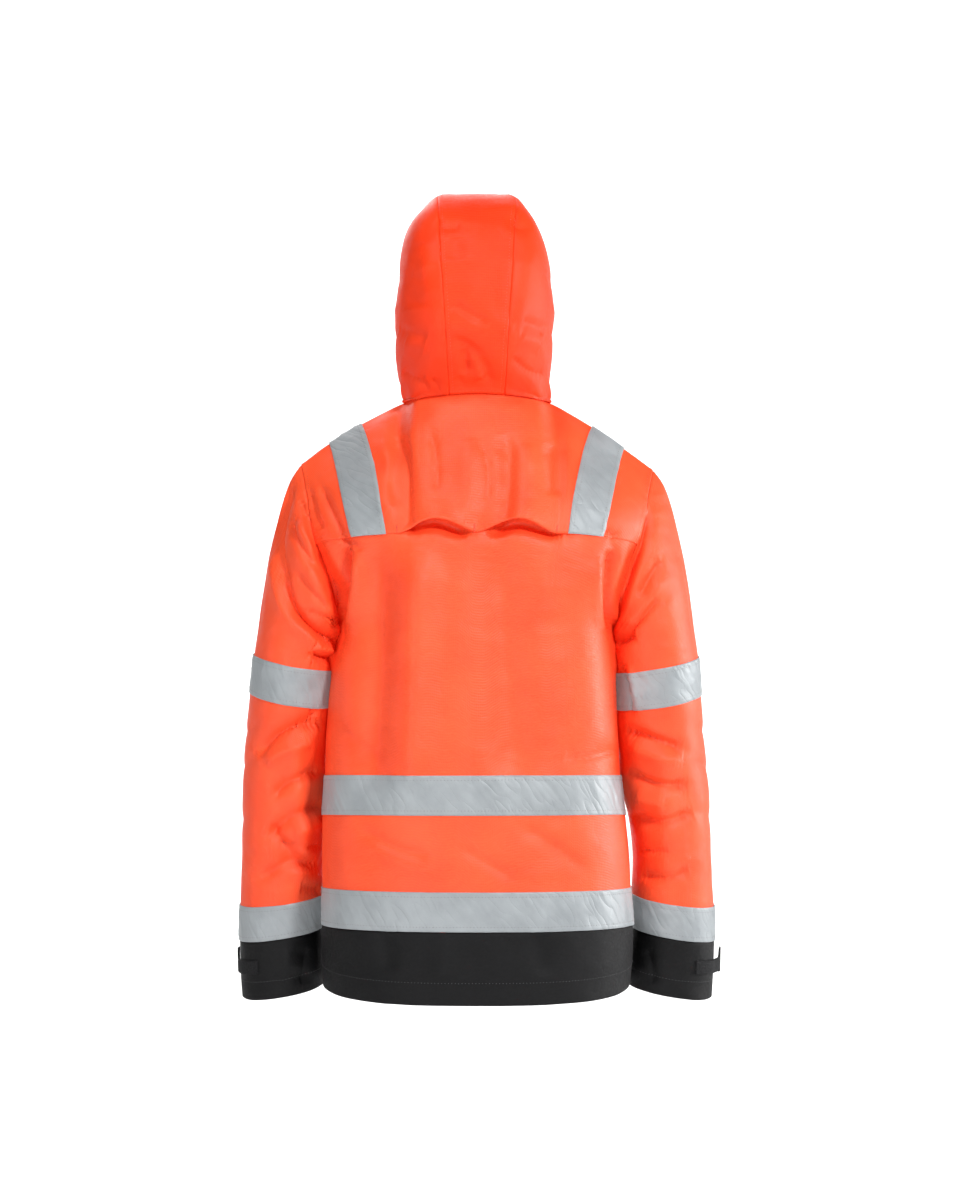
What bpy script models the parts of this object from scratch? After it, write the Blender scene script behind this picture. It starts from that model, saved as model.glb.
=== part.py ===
"""Hi-vis work jacket with its hood up, hanging in the hollow form of a wearer.

Every cloth piece is a closed wall built on a grid of points. A grid's rows run across the cloth from
the top down and its columns run clockwise seen from above, so its normals point out of the garment.
The grid is the outer face of the shell cloth, and the wall goes inwards from it. What is sewn on top
is made from the same points, moved out.

Sizes are in millimetres until a mesh is made. X is to the wearer's left, Y to the back, Z up. The
origin lies at the base of the neck, where the garment is held up.
"""

import math

import bpy
import numpy as np

MM = 0.001

# Cloth and seams
SHELL_WALL = 1.6
TAPE_WALL = 1.0
ZIP_WALL = 1.2
TAB_WALL = 2.4
SEAM_GAP = 0.3
LAYER_GAP = 0.3
SEAM_BEVEL = 0.35
SHARP_ANGLE = math.radians(40)

# Neck and shoulders
NECK_SIDE = (92.0, 0.0, 3.0)
NECK_BACK = (0.0, 70.0, 12.0)
NECK_FRONT = (0.0, -95.0, -62.0)
SHOULDER_POINT = (224.0, 0.0, -79.0)
SHOULDER_CROWN = 5.0
SHOULDER_TILT = 3.5
NECK_PLAN_POWER = 0.92
NECK_RISE_POWER = 1.7

# How the cloth leaves the neck and shoulder edge, as x, y outwards and z of a curve's first pull
PULL_NECK_BACK = (0.0, 30.0, -72.0)
PULL_NECK_FRONT = (0.0, 22.0, -45.0)
PULL_NECK_SIDE = (0.0, 66.0, -44.0)
PULL_SHOULDER_NECK = (0.0, 104.0, -34.0)
PULL_SHOULDER_POINT = (0.0, 62.0, -62.0)
PULL_SIDEWAYS = 0.8

# Front edges and collar
ZIP_HALF_OPENING = 6.0
ZIP_STRIP_EDGE = 1.0
COLLAR_HEIGHT_BACK = 58.0
COLLAR_HEIGHT_FRONT = 66.0
COLLAR_TOP_SCALE = 0.88
COLLAR_TAPER_FROM_X = 30.0
COLLAR_ROWS = 3

# Stations along one half of the shoulder and neck edge, from the centre out.
# top: x on the neck and shoulder edge; yoke: x on the back yoke's lower edge; chest: x on the front at
# chest level; lower: distance round the front from the zip, at the waist
STATIONS = (
    # name, back_top, back_yoke, front_top, front_chest, front_lower
    ("centre", 0, 0, 6, 6, 0),
    ("neck_1", 17, 17, 26, 24, 18),
    ("neck_2", 35, 33, 45, 42, 34),
    ("neck_3", 50, 50, 62, 60, 50),
    ("neck_4", 65, 66, 76, 78, 66),
    ("neck_5", 79, 82, 87, 95, 80),
    ("neck_side", 92, 98, 92, 108, 92),
    ("shoulder_1", 119, 105, 119, 122, 104),
    ("tape_inner", 146, 112, 146, 135, 118),
    ("tape_middle", 166, 134, 166, 155, 143),
    ("tape_outer", 187, 156, 187, 175, 168),
    ("cap_1", 197, 168, 197, 182, 195),
    ("cap_2", 206, 180, 206, 189, 222),
    ("cap_3", 215, 191, 215, 195, 248),
    ("edge", 224, 200, 224, 200, 274),
)
HALF = len(STATIONS) - 1
NECK_STATIONS = 6
TAPE_FROM = 8
TAPE_TO = 10

# Levels of the body from the yoke's lower edge to the hem. z_side is at the armhole or side seam;
# left and right are half widths there; y_back and y_front place the armhole's two edges.
LEVELS = (
    # name, z_side, z_back, z_front, left, right, y_back, y_front, back, front
    ("yoke", -178, -164, -165, 200, 200, 64, -60, 134, 124),
    ("blade", -210, -200, -200, 189, 189, 66, -62, 136, 129),
    ("scye", -243, -236, -236, 180, 180, 55, -52, 138, 133),
    ("scye_low", -268, -264, -264, 175.5, 174, 34, -32, 139, 135),
    ("underarm", -283, -290, -290, 173.5, 171, 0, 0, 140, 136),
    ("ribs", -317, -322, -322, 181, 174.5, 0, 0, 141, 138),
    ("waist_1", -357, -358, -358, 187, 176.5, 0, 0, 142, 139),
    ("waist_2", -396, -394, -394, 189.5, 178, 0, 0, 143, 140),
    ("waist_3", -434, -429, -429, 192, 180, 0, 0, 143, 141),
    ("mid_tape_top", -471, -463.5, -463.5, 193.5, 182, 0, 0, 144, 142),
    ("mid_tape_bottom", -521, -513, -513, 195.5, 188, 0, 0, 145, 143),
    ("hip_1", -551, -544, -544, 196, 191, 0, 0, 146, 144),
    ("hip_2", -581, -575, -575, 196.5, 193.5, 0, 0, 147, 145),
    ("low_tape_top", -611, -607, -607, 196.5, 195, 0, 0, 147, 146),
    ("low_tape_bottom", -658, -656, -656, 197, 197.5, 0, 0, 148, 147),
    ("hem_1", -695, -702, -700, 197, 197.5, 0, 0, 148, 147),
    ("hem", -730, -747, -742, 195, 194, 0, 0, 148, 147),
)
LEVEL_NAMES = [level[0] for level in LEVELS]
BODY_SQUARENESS = 2.4
YOKE_ROWS = 5
EVEN_FROM = 4

# Back yoke: its lower edge is free between bartacks and stands up in two vent arches
YOKE_LAP_ROWS = 2
YOKE_FLUSH_ROWS = 2
ARCH_SPAN = 98.0
ARCH_RISE = 16.0
ARCH_STAND = 9.0
ARCH_STAND_ABOVE = 3.0
ARCH_POWER = 1.5
# The yoke's outer face at each of its rows: flush at the shoulder, then above the back it laps over
YOKE_HEIGHTS = np.array(
    [0.0] * YOKE_FLUSH_ROWS + [LAYER_GAP + SHELL_WALL] * (YOKE_ROWS + 1 - YOKE_FLUSH_ROWS)
)

# Sleeve rings below the armhole. out and in are x at the outer and inner side; roll lifts the outer
# side, drop lowers the back
SLEEVE_LEFT = (
    # name, z, out, in, y, depth, roll, drop
    ("elbow_tape_top", -326, 283, 186, -20, 80, 10, 5),
    ("elbow_tape_bottom", -373, 289, 191, -28, 79, 9, 7),
    ("elbow", -428, 296, 193, -36, 77, 5, 5),
    ("forearm_1", -480, 299, 193, -43, 74, 0, 4),
    ("forearm_2", -530, 301, 194, -50, 71, -3, 4),
    ("forearm_3", -580, 303, 195, -56, 68, -5, 4),
    ("cuff_tape_top", -631, 304.5, 196, -62, 65, -7, 4),
    ("cuff_tape_bottom", -675, 305.5, 196.5, -67, 62, -9, 4),
    ("tab_top", -703, 305, 196.5, -70, 60, -9, 4),
    ("tab_bottom", -721, 304.5, 196.5, -72, 59, -9, 4),
    ("cuff", -749, 303, 196, -74, 57, -9, 6),
)
SLEEVE_RIGHT = (
    ("elbow_tape_top", -329, 281, 177.5, -20, 80, 10, 5),
    ("elbow_tape_bottom", -376, 286, 180.5, -28, 79, 9, 7),
    ("elbow", -428, 291, 181.5, -36, 77, 5, 5),
    ("forearm_1", -480, 296, 183, -43, 74, 1, 4),
    ("forearm_2", -530, 299, 189, -50, 71, -2, 4),
    ("forearm_3", -580, 302, 196, -56, 68, -5, 4),
    ("cuff_tape_top", -631, 304, 199, -62, 65, -8, 4),
    ("cuff_tape_bottom", -675, 305, 198.5, -67, 62, -9, 4),
    ("tab_top", -703, 304.5, 196.5, -70, 60, -9, 4),
    ("tab_bottom", -721, 304, 195, -72, 59, -9, 4),
    ("cuff", -749, 303, 193, -74, 57, -9, 6),
)
RING_NAMES = [ring[0] for ring in SLEEVE_LEFT]
SLEEVE_SQUARENESS = 2.15
CAP_ROWS = 5
CAP_PULL_OUTER = (78.0, 0.0, -52.0)
CAP_PULL_INNER = (24.0, -8.0, -42.0)
CAP_PULL_BACK = (56.0, 12.0, -72.0)
FRONT_SEAM_STATION = 2

# Hood: the seams beside its centre panel run from the face over the crown to the nape. reach and
# slope shape the side panel where it leaves the seam, flare and rise where it stands on the neck
HOOD_PATH = (
    # seam_x, y, z, reach, slope, flare, rise
    (48, -98, 253, 56, 26, 44, 122),
    (49, -56, 263, 68, 28, 36, 114),
    (50, -10, 266, 72, 28, 32, 110),
    (50, 34, 261, 74, 27, 31, 106),
    (49, 74, 243, 72, 20, 26, 98),
    (47, 104, 212, 62, 14, 24, 88),
    (45, 122, 172, 52, 10, 20, 74),
    (42, 128, 130, 42, 8, 14, 58),
    (39, 122, 90, 30, 6, 9, 40),
    (37, 104, 50, 19, 4, 5, 22),
    (35, 68, 14.5, 12, 0, 0, 10),
)
HOOD_LEAN = 7.0
HOOD_LEAN_LENGTH = 1.1
HOOD_UPRIGHT_UNTIL = 0.625
HOOD_MIDDLE_Z = 120.0
HOOD_CROWN_ROUND = 2.5
HOOD_ROWS = 17
HOOD_SIDE_COLUMNS = 11
HOOD_CENTRE_COLUMNS = 4
HOOD_NECK_START = 18.0
HOOD_NECK_END = 214.0
HOOD_NECK_RISE = 2.5
HOOD_NECK_GAP = 0.9

# Cuff tab, as ring stations from the outer side of the sleeve
TAB_BACK_STATIONS = 3
TAB_FRONT_STATIONS = 1
TAB_END_STAND = 11.0

# Zip slider and pull tab. The slider's bridge stands over the tab's top bar, which turns in it
SLIDER_SIZE = (9.0, 4.5, 12.0)
SLIDER_BELOW_TOP = 12.0
SLIDER_BEVEL = 0.9
BRIDGE_BEVEL = 0.4
PULL_BEVEL = 0.5
BRIDGE_WIDTH = 2.6
BRIDGE_WALL = 1.2
BRIDGE_ROOM = (2.6, 3.4)
PULL_TAB_SIZE = (6.6, 1.6, 32.0)
PULL_BAR = 1.8
PULL_HOLE = (3.6, 5.4)
PULL_AXIS_FROM_SLIDER = 1.3

MATERIALS = (
    # name, red, green, blue, roughness, metallic
    ("orange_red_shell", 1.0, 0.125, 0.045, 0.85, 0.0),
    ("black_shell", 0.022, 0.022, 0.024, 0.85, 0.0),
    ("reflective_tape", 0.47, 0.5, 0.52, 0.45, 0.0),
    ("hook_and_loop", 0.012, 0.012, 0.013, 0.95, 0.0),
    ("zip_cloth", 0.02, 0.02, 0.022, 0.9, 0.0),
    ("zip_metal", 0.09, 0.09, 0.095, 0.4, 1.0),
)

# Largest folds of the cloth: from and to are x, z; side is +1 on the back and -1 on the front
FOLDS = (
    # piece, side, x0, z0, x1, z1, width, depth
    ("body", 1, 84, -30, 84, -170, 14, -4.0),
    ("body", 1, 114, -40, 116, -150, 14, 2.5),
    ("body", 1, -40, -30, -40, -165, 15, -3.5),
    ("body", 1, 6, -40, 8, -150, 16, 2.5),
    ("body", 1, -92, -40, -94, -165, 14, -4.0),
    ("body", 1, -66, -50, -68, -150, 14, 2.5),
    ("body", 1, 107, -190, 120, -420, 26, -4.0),
    ("body", 1, -72, -190, -88, -430, 26, -3.5),
    ("body", 1, 18, -220, 10, -440, 40, 3.0),
    ("body", -1, 90, -150, 110, -430, 26, -4.0),
    ("body", -1, -84, -170, -104, -440, 26, -4.0),
)


def smooth(t):
    return t * t * (3 - 2 * t)


def mix(a, b, t):
    return np.asarray(a, float) * (1 - t) + np.asarray(b, float) * t


def hermite(start, start_pull, end, end_pull, t):
    return (
        (2 * t**3 - 3 * t**2 + 1) * start
        + (t**3 - 2 * t**2 + t) * start_pull
        + (3 * t**2 - 2 * t**3) * end
        + (t**3 - t**2) * end_pull
    )


def through_rows(rows, position):
    """The values of a table at a row position that may lie between two rows, on a smooth curve."""
    values = np.array(rows, float)
    last = len(values) - 1
    k = min(int(position), last - 1)
    t = position - k
    before = values[max(k - 1, 0)]
    start, end = values[k], values[k + 1]
    after = values[min(k + 2, last)]
    return hermite(start, (end - before) / 2, end, (after - start) / 2, t)


def lengths_along(points):
    steps = np.linalg.norm(np.diff(points, axis=0), axis=1)
    return np.concatenate([[0], np.cumsum(steps)])


def at_lengths(points, wanted):
    lengths = lengths_along(points)
    return np.array([[np.interp(w, lengths, points[:, c]) for c in range(3)] for w in wanted])


def unit(vector):
    return vector / np.linalg.norm(vector)


# ---- The body's surface ----


def half_section(level, side, half, samples=120):
    """One half of a body section, from the centre line to the armhole or side seam."""
    _, z_side, z_back, z_front, left, right, y_back, y_front, back, front = level
    edge_x = left if half > 0 else right
    edge_y = abs(y_back if side > 0 else y_front)
    centre_y = back if side > 0 else front
    centre_z = z_back if side > 0 else z_front
    power = 2 / BODY_SQUARENESS
    full_x = edge_x / (1 - (edge_y / centre_y) ** BODY_SQUARENESS) ** (1 / BODY_SQUARENESS)
    last = math.acos((edge_y / centre_y) ** (1 / power))
    angles = np.linspace(0, last, samples)
    x = full_x * np.sin(angles) ** power
    y = centre_y * np.abs(np.cos(angles)) ** power
    flat = np.stack([x, y, np.zeros(samples)], axis=1)
    share = lengths_along(flat) / lengths_along(flat)[-1]
    z = centre_z + (z_side - centre_z) * share**3
    return np.stack([half * x, side * y, z], axis=1)


def level_row(k, side, half):
    """The points of one level at its stations, from the centre out."""
    curve = half_section(LEVELS[k], side, half)
    lengths = lengths_along(curve)
    total = lengths[-1]
    column = 2 if side > 0 else 4
    edge_x = abs(curve[-1, 0])
    high_x = np.array([station[column] for station in STATIONS], float)
    high_x *= edge_x / high_x[-1]
    high = np.interp(high_x, np.abs(curve[:, 0]), lengths)
    if side > 0:
        low = np.linspace(0, total, HALF + 1)
    else:
        start = np.interp(ZIP_HALF_OPENING, np.abs(curve[:, 0]), lengths)
        low = np.array([station[5] for station in STATIONS], float)
        low = start + low * (total - start) / low[-1]
    share = smooth(min(k / EVEN_FROM, 1))
    return at_lengths(curve, high * (1 - share) + low * share)


def neck_edge(side, half):
    """The back or front neck edge from the centre line to the side of the neck."""
    centre = NECK_BACK if side > 0 else NECK_FRONT
    angles = np.linspace(0, math.pi / 2, 60)
    x = NECK_SIDE[0] * np.sin(angles)
    y = centre[1] * np.cos(angles) ** NECK_PLAN_POWER
    z = centre[2] + (NECK_SIDE[2] - centre[2]) * np.sin(angles) ** NECK_RISE_POWER
    return np.stack([half * x, y, z], axis=1)


def top_row(side, half):
    """The neck edge and the shoulder seam at their stations, and the pull of the cloth away from them."""
    column = 1 if side > 0 else 3
    curve = neck_edge(side, half)
    side_of_neck = np.array(NECK_SIDE) * (half, 1, 1)
    shoulder = np.array(SHOULDER_POINT) * (half, 1, 1) + (0, 0, half * SHOULDER_TILT)
    points, pulls = [], []
    for index, station in enumerate(STATIONS):
        x = station[column]
        if index <= NECK_STATIONS:
            point = np.array([np.interp(x, np.abs(curve[:, 0]), curve[:, c]) for c in range(3)])
            share = smooth(index / NECK_STATIONS)
            centre_pull = PULL_NECK_BACK if side > 0 else PULL_NECK_FRONT
            pull = mix(centre_pull, PULL_NECK_SIDE, share)
        else:
            along = (x - NECK_SIDE[0]) / (SHOULDER_POINT[0] - NECK_SIDE[0])
            point = mix(side_of_neck, shoulder, along)
            point[2] += SHOULDER_CROWN * math.sin(math.pi * along)
            pull = mix(PULL_SHOULDER_NECK, PULL_SHOULDER_POINT, smooth(along))
        pulls.append(pull * (1, side, 1))
        points.append(point)
    return np.array(points), np.array(pulls)


def half_grid(side, half):
    """Rows from the neck and shoulder to the hem, columns from the centre out."""
    top, pulls = top_row(side, half)
    rows = [level_row(k, side, half) for k in range(len(LEVELS))]
    pulls[:, 0] = (rows[0] - top)[:, 0] * PULL_SIDEWAYS
    down = rows[1] - rows[0]
    down *= (np.linalg.norm(rows[0] - top, axis=1) / np.linalg.norm(down, axis=1))[:, None]
    upper = [hermite(top, pulls, rows[0], down, k / YOKE_ROWS) for k in range(YOKE_ROWS)]
    return np.array(upper + rows)


def folded(piece, grid, normals):
    """The grid with the piece's soft folds, as troughs and ridges along its normals."""
    shift = np.zeros(grid.shape[:2])
    for name, side, x0, z0, x1, z1, width, depth in FOLDS:
        if name != piece:
            continue
        start, along = np.array([x0, z0]), np.array([x1 - x0, z1 - z0])
        flat = grid[..., [0, 2]] - start
        share = np.clip((flat @ along) / (along @ along), 0, 1)
        away = np.linalg.norm(flat - share[..., None] * along, axis=2)
        facing = np.clip(normals[..., 1] * side, 0, 1)
        shift += depth * np.exp(-((away / width) ** 2)) * facing
    return grid + shift[..., None] * normals


def normals_of(grid, wrap=False):
    """Outward unit normals at the points of a grid."""
    across = np.gradient(grid, axis=1)
    if wrap:
        across = (np.roll(grid, -1, axis=1) - np.roll(grid, 1, axis=1)) / 2
    down = np.gradient(grid, axis=0)
    normals = np.cross(across, down)
    return normals / np.linalg.norm(normals, axis=2, keepdims=True)


def back_grid():
    right, left = half_grid(1, -1), half_grid(1, 1)
    return np.concatenate([right[:, :0:-1], left], axis=1)


def front_grid(half):
    grid = half_grid(-1, half)
    return grid[:, ::-1] if half > 0 else grid


def row_of(name):
    return YOKE_ROWS + LEVEL_NAMES.index(name)


# ---- Walls and objects ----


def pulled_in(points, amount, edges, wrap):
    """The points with the grid's seam edges drawn in along the cloth."""
    result = points.copy()
    top, bottom, first, last = edges
    if top:
        step = points[1] - points[0]
        result[0] += amount * step / np.linalg.norm(step, axis=1, keepdims=True)
    if bottom:
        step = points[-2] - points[-1]
        result[-1] += amount * step / np.linalg.norm(step, axis=1, keepdims=True)
    if wrap:
        return result
    if first:
        step = points[:, 1] - points[:, 0]
        result[:, 0] += amount * step / np.linalg.norm(step, axis=1, keepdims=True)
    if last:
        step = points[:, -2] - points[:, -1]
        result[:, -1] += amount * step / np.linalg.norm(step, axis=1, keepdims=True)
    return result


def wall_faces(rows, columns, wrap):
    """Faces of a closed wall whose outer points come first and inner points second."""
    count = rows * columns
    faces = []
    spans = columns if wrap else columns - 1

    def outer(r, c):
        return r * columns + c % columns

    def inner(r, c):
        return count + outer(r, c)

    for r in range(rows - 1):
        for c in range(spans):
            faces.append((outer(r, c), outer(r, c + 1), outer(r + 1, c + 1), outer(r + 1, c)))
            faces.append((inner(r, c), inner(r + 1, c), inner(r + 1, c + 1), inner(r, c + 1)))
    bottom, last = rows - 1, columns - 1
    for c in range(spans):
        faces.append((outer(0, c + 1), outer(0, c), inner(0, c), inner(0, c + 1)))
        faces.append((outer(bottom, c), outer(bottom, c + 1), inner(bottom, c + 1), inner(bottom, c)))
    if not wrap:
        for r in range(rows - 1):
            faces.append((outer(r, 0), outer(r + 1, 0), inner(r + 1, 0), inner(r, 0)))
            faces.append((outer(r + 1, last), outer(r, last), inner(r, last), inner(r + 1, last)))
    return faces


def add_object(name, points, faces, material):
    mesh = bpy.data.meshes.new(name)
    mesh.from_pydata([tuple(p * MM) for p in points], [], faces)
    for polygon in mesh.polygons:
        polygon.use_smooth = True
    mesh.set_sharp_from_angle(angle=SHARP_ANGLE)
    mesh.materials.append(material)
    mesh.update()
    obj = bpy.data.objects.new(name, mesh)
    bpy.context.scene.collection.objects.link(obj)
    return obj


def add_wall(name, grid, normals, outer, thickness, material, wrap=False, edges=(1, 1, 1, 1)):
    """A cloth wall whose outer face lies `outer` above the grid; outer may differ from row to row."""
    rows, columns = grid.shape[:2]
    outer = np.broadcast_to(np.asarray(outer, float), (rows,)).reshape(rows, 1, 1)
    outside = grid + normals * outer
    inside = grid + normals * (outer - thickness)
    outside = pulled_in(outside, SEAM_GAP / 2, edges, wrap)
    inside = pulled_in(inside, SEAM_GAP / 2 + SEAM_BEVEL, edges, wrap)
    points = np.concatenate([outside.reshape(-1, 3), inside.reshape(-1, 3)])
    return add_object(name, points, wall_faces(rows, columns, wrap), material)


def make_material(name, red, green, blue, roughness, metallic):
    material = bpy.data.materials.new(name)
    material.use_nodes = True
    shader = material.node_tree.nodes["Principled BSDF"]
    shader.inputs["Base Color"].default_value = (red, green, blue, 1)
    shader.inputs["Roughness"].default_value = roughness
    shader.inputs["Metallic"].default_value = metallic
    return material


# ---- Pieces ----


def body_grids():
    """The grids and normals of the back and of both fronts, which share theirs on the shoulder seams."""
    grids = {"back": back_grid(), "left": front_grid(1), "right": front_grid(-1)}
    normals = {name: normals_of(grid) for name, grid in grids.items()}
    seam = HALF - NECK_STATIONS
    for name, back_part, front_part in (
        ("left", slice(-1, -seam - 2, -1), slice(0, seam + 1)),
        ("right", slice(0, seam + 1), slice(-1, -seam - 2, -1)),
    ):
        shared = normals["back"][0, back_part] + normals[name][0, front_part]
        shared /= np.linalg.norm(shared, axis=1, keepdims=True)
        normals["back"][0, back_part] = shared
        normals[name][0, front_part] = shared
    for name, grid in grids.items():
        grids[name] = folded("body", grid, normals[name])
    return grids, normals


def make_back(grid, normals, shell, dark, tape):
    yoke = row_of("yoke")
    hem = row_of("low_tape_bottom")

    lap = yoke - YOKE_LAP_ROWS
    add_wall("back_body", grid[lap : hem + 1], normals[lap : hem + 1], 0, SHELL_WALL, shell)
    add_wall("back_hem", grid[hem:], normals[hem:], 0, SHELL_WALL, dark, edges=(1, 0, 1, 1))

    yoke_grid = grid[: yoke + 1].copy()
    arch = vent_arch(yoke_grid[-1])
    yoke_grid[-1, :, 2] += ARCH_RISE * arch
    yoke_grid[-1] += normals[yoke] * (ARCH_STAND * arch)[:, None]
    yoke_grid[-2] += normals[yoke - 1] * (ARCH_STAND_ABOVE * arch)[:, None]
    add_wall("back_yoke", yoke_grid, normals[: yoke + 1], YOKE_HEIGHTS, SHELL_WALL, shell)

    add_band("mid_tape_back", grid, normals, "mid_tape_top", tape)
    add_band("low_tape_back", grid, normals, "low_tape_top", tape)
    return yoke_grid


def vent_arch(points):
    """How far each point of the yoke's free edge stands in a vent arch, from 0 to 1."""
    share = np.abs(points[:, 0]) / ARCH_SPAN
    return np.sin(math.pi * np.clip(share, 0, 1)) ** ARCH_POWER


def add_band(name, grid, normals, top_level, tape):
    """A reflective band round the body, on two neighbouring levels."""
    top = row_of(top_level)
    rows = slice(top, top + 2)
    add_wall(name, grid[rows], normals[rows], LAYER_GAP + TAPE_WALL, TAPE_WALL, tape)


def make_front(side_name, grid, normals, shell, dark, tape):
    hem = row_of("low_tape_bottom")
    add_wall(f"front_{side_name}", grid[: hem + 1], normals[: hem + 1], 0, SHELL_WALL, shell)
    add_wall(
        f"front_hem_{side_name}", grid[hem:], normals[hem:], 0, SHELL_WALL, dark, edges=(1, 0, 1, 1)
    )
    add_band(f"mid_tape_{side_name}", grid, normals, "mid_tape_top", tape)
    add_band(f"low_tape_{side_name}", grid, normals, "low_tape_top", tape)


def shoulder_tape(half, yoke_grid, back_normals, front, front_normals, tape):
    """A reflective tape from the yoke's edge over the shoulder down the front to the middle band."""
    side_name = "left" if half > 0 else "right"
    yoke = row_of("yoke")
    middle = row_of("mid_tape_top")
    if half > 0:
        back_columns = slice(HALF + TAPE_FROM, HALF + TAPE_TO + 1)
        front_columns = slice(HALF - TAPE_TO, HALF - TAPE_FROM + 1)
    else:
        back_columns = slice(HALF - TAPE_TO, HALF - TAPE_FROM + 1)
        front_columns = slice(TAPE_FROM, TAPE_TO + 1)
    rise = YOKE_HEIGHTS.reshape(-1, 1, 1)
    over_back = (yoke_grid + back_normals[: yoke + 1] * rise)[::-1, back_columns][:, ::-1]
    over_back_normals = back_normals[: yoke + 1][::-1, back_columns][:, ::-1]
    over_front = front[1 : middle + 1, front_columns]
    over_front_normals = front_normals[1 : middle + 1, front_columns]
    ridge_normals = over_back_normals[-1] + front_normals[0, front_columns]
    ridge_normals /= np.linalg.norm(ridge_normals, axis=1, keepdims=True)
    points = np.concatenate([over_back, over_front])
    normals = np.concatenate([over_back_normals[:-1], ridge_normals[None], over_front_normals])
    add_wall(f"shoulder_tape_{side_name}", points, normals, LAYER_GAP + TAPE_WALL, TAPE_WALL, tape)


def neck_loop(back, left, right):
    """The neck edge from the right front round the back to the left front."""
    right_front = right[0, : NECK_STATIONS + 1]
    left_front = left[0, HALF - NECK_STATIONS :]
    behind = back[0, HALF - NECK_STATIONS : HALF + NECK_STATIONS + 1]
    return np.concatenate([right_front[:-1], behind, left_front[1:]])


def collar_grid(loop):
    """Rows from the collar's top edge down to the neck seam."""
    middle_y = (NECK_BACK[1] + NECK_FRONT[1]) / 2
    frontness = np.clip((loop[:, 1] - NECK_BACK[1]) / (NECK_FRONT[1] - NECK_BACK[1]), 0, 1)
    height = COLLAR_HEIGHT_BACK + (COLLAR_HEIGHT_FRONT - COLLAR_HEIGHT_BACK) * frontness
    rows = []
    for share in np.linspace(1, 0, COLLAR_ROWS + 1):
        scale = 1 - (1 - COLLAR_TOP_SCALE) * share
        row = loop.copy()
        row[:, 0] = loop[:, 0] * np.where(np.abs(loop[:, 0]) > COLLAR_TAPER_FROM_X, scale, 1)
        row[:, 1] = middle_y + (loop[:, 1] - middle_y) * (1 - (1 - scale) * (1 - frontness))
        row[:, 2] += height * share
        rows.append(row)
    return np.array(rows)


def zip_strip(side_name, half, front, front_normals, collar, collar_normals, cloth):
    """One side of the zip's woven strip, sewn behind the front edge from the collar's top to the hem."""
    edge, inner = (-1, -2) if half > 0 else (0, 1)
    strip = np.concatenate([collar[:-1][:, [edge, edge, inner]], front[:, [edge, edge, inner]]])
    strip[:, 0, 0] = half * ZIP_STRIP_EDGE
    strip_normals = np.concatenate([
        collar_normals[:-1][:, [edge, edge, inner]],
        front_normals[:, [edge, edge, inner]],
    ])
    if half > 0:
        strip, strip_normals = strip[:, ::-1], strip_normals[:, ::-1]
    add_wall(
        f"zip_strip_{side_name}", strip, strip_normals, -SHELL_WALL - LAYER_GAP, ZIP_WALL, cloth,
        edges=(1, 1, 0, 0),
    )


def bezier(points, t):
    a, b, c, d = (np.asarray(p, float) for p in points)
    return (1 - t) ** 3 * a + 3 * t * (1 - t) ** 2 * b + 3 * t**2 * (1 - t) * c + t**3 * d


def hood_neck_points(loop, count):
    """Points of the hood's lower edge on the wearer's left, just outside the collar, front to back."""
    half_loop = loop[::-1][: len(loop) // 2 + 1]
    centre = np.array([0, (NECK_BACK[1] + NECK_FRONT[1]) / 2])
    out = half_loop[:, :2] - centre
    out /= np.linalg.norm(out, axis=1, keepdims=True)
    moved = half_loop.copy()
    moved[:, :2] += out * (HOOD_NECK_GAP + SHELL_WALL)
    moved[:, 2] += HOOD_NECK_RISE
    total = lengths_along(moved)[-1]
    end = min(HOOD_NECK_END, total)
    return at_lengths(moved, np.linspace(HOOD_NECK_START, end, count)), moved


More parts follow.
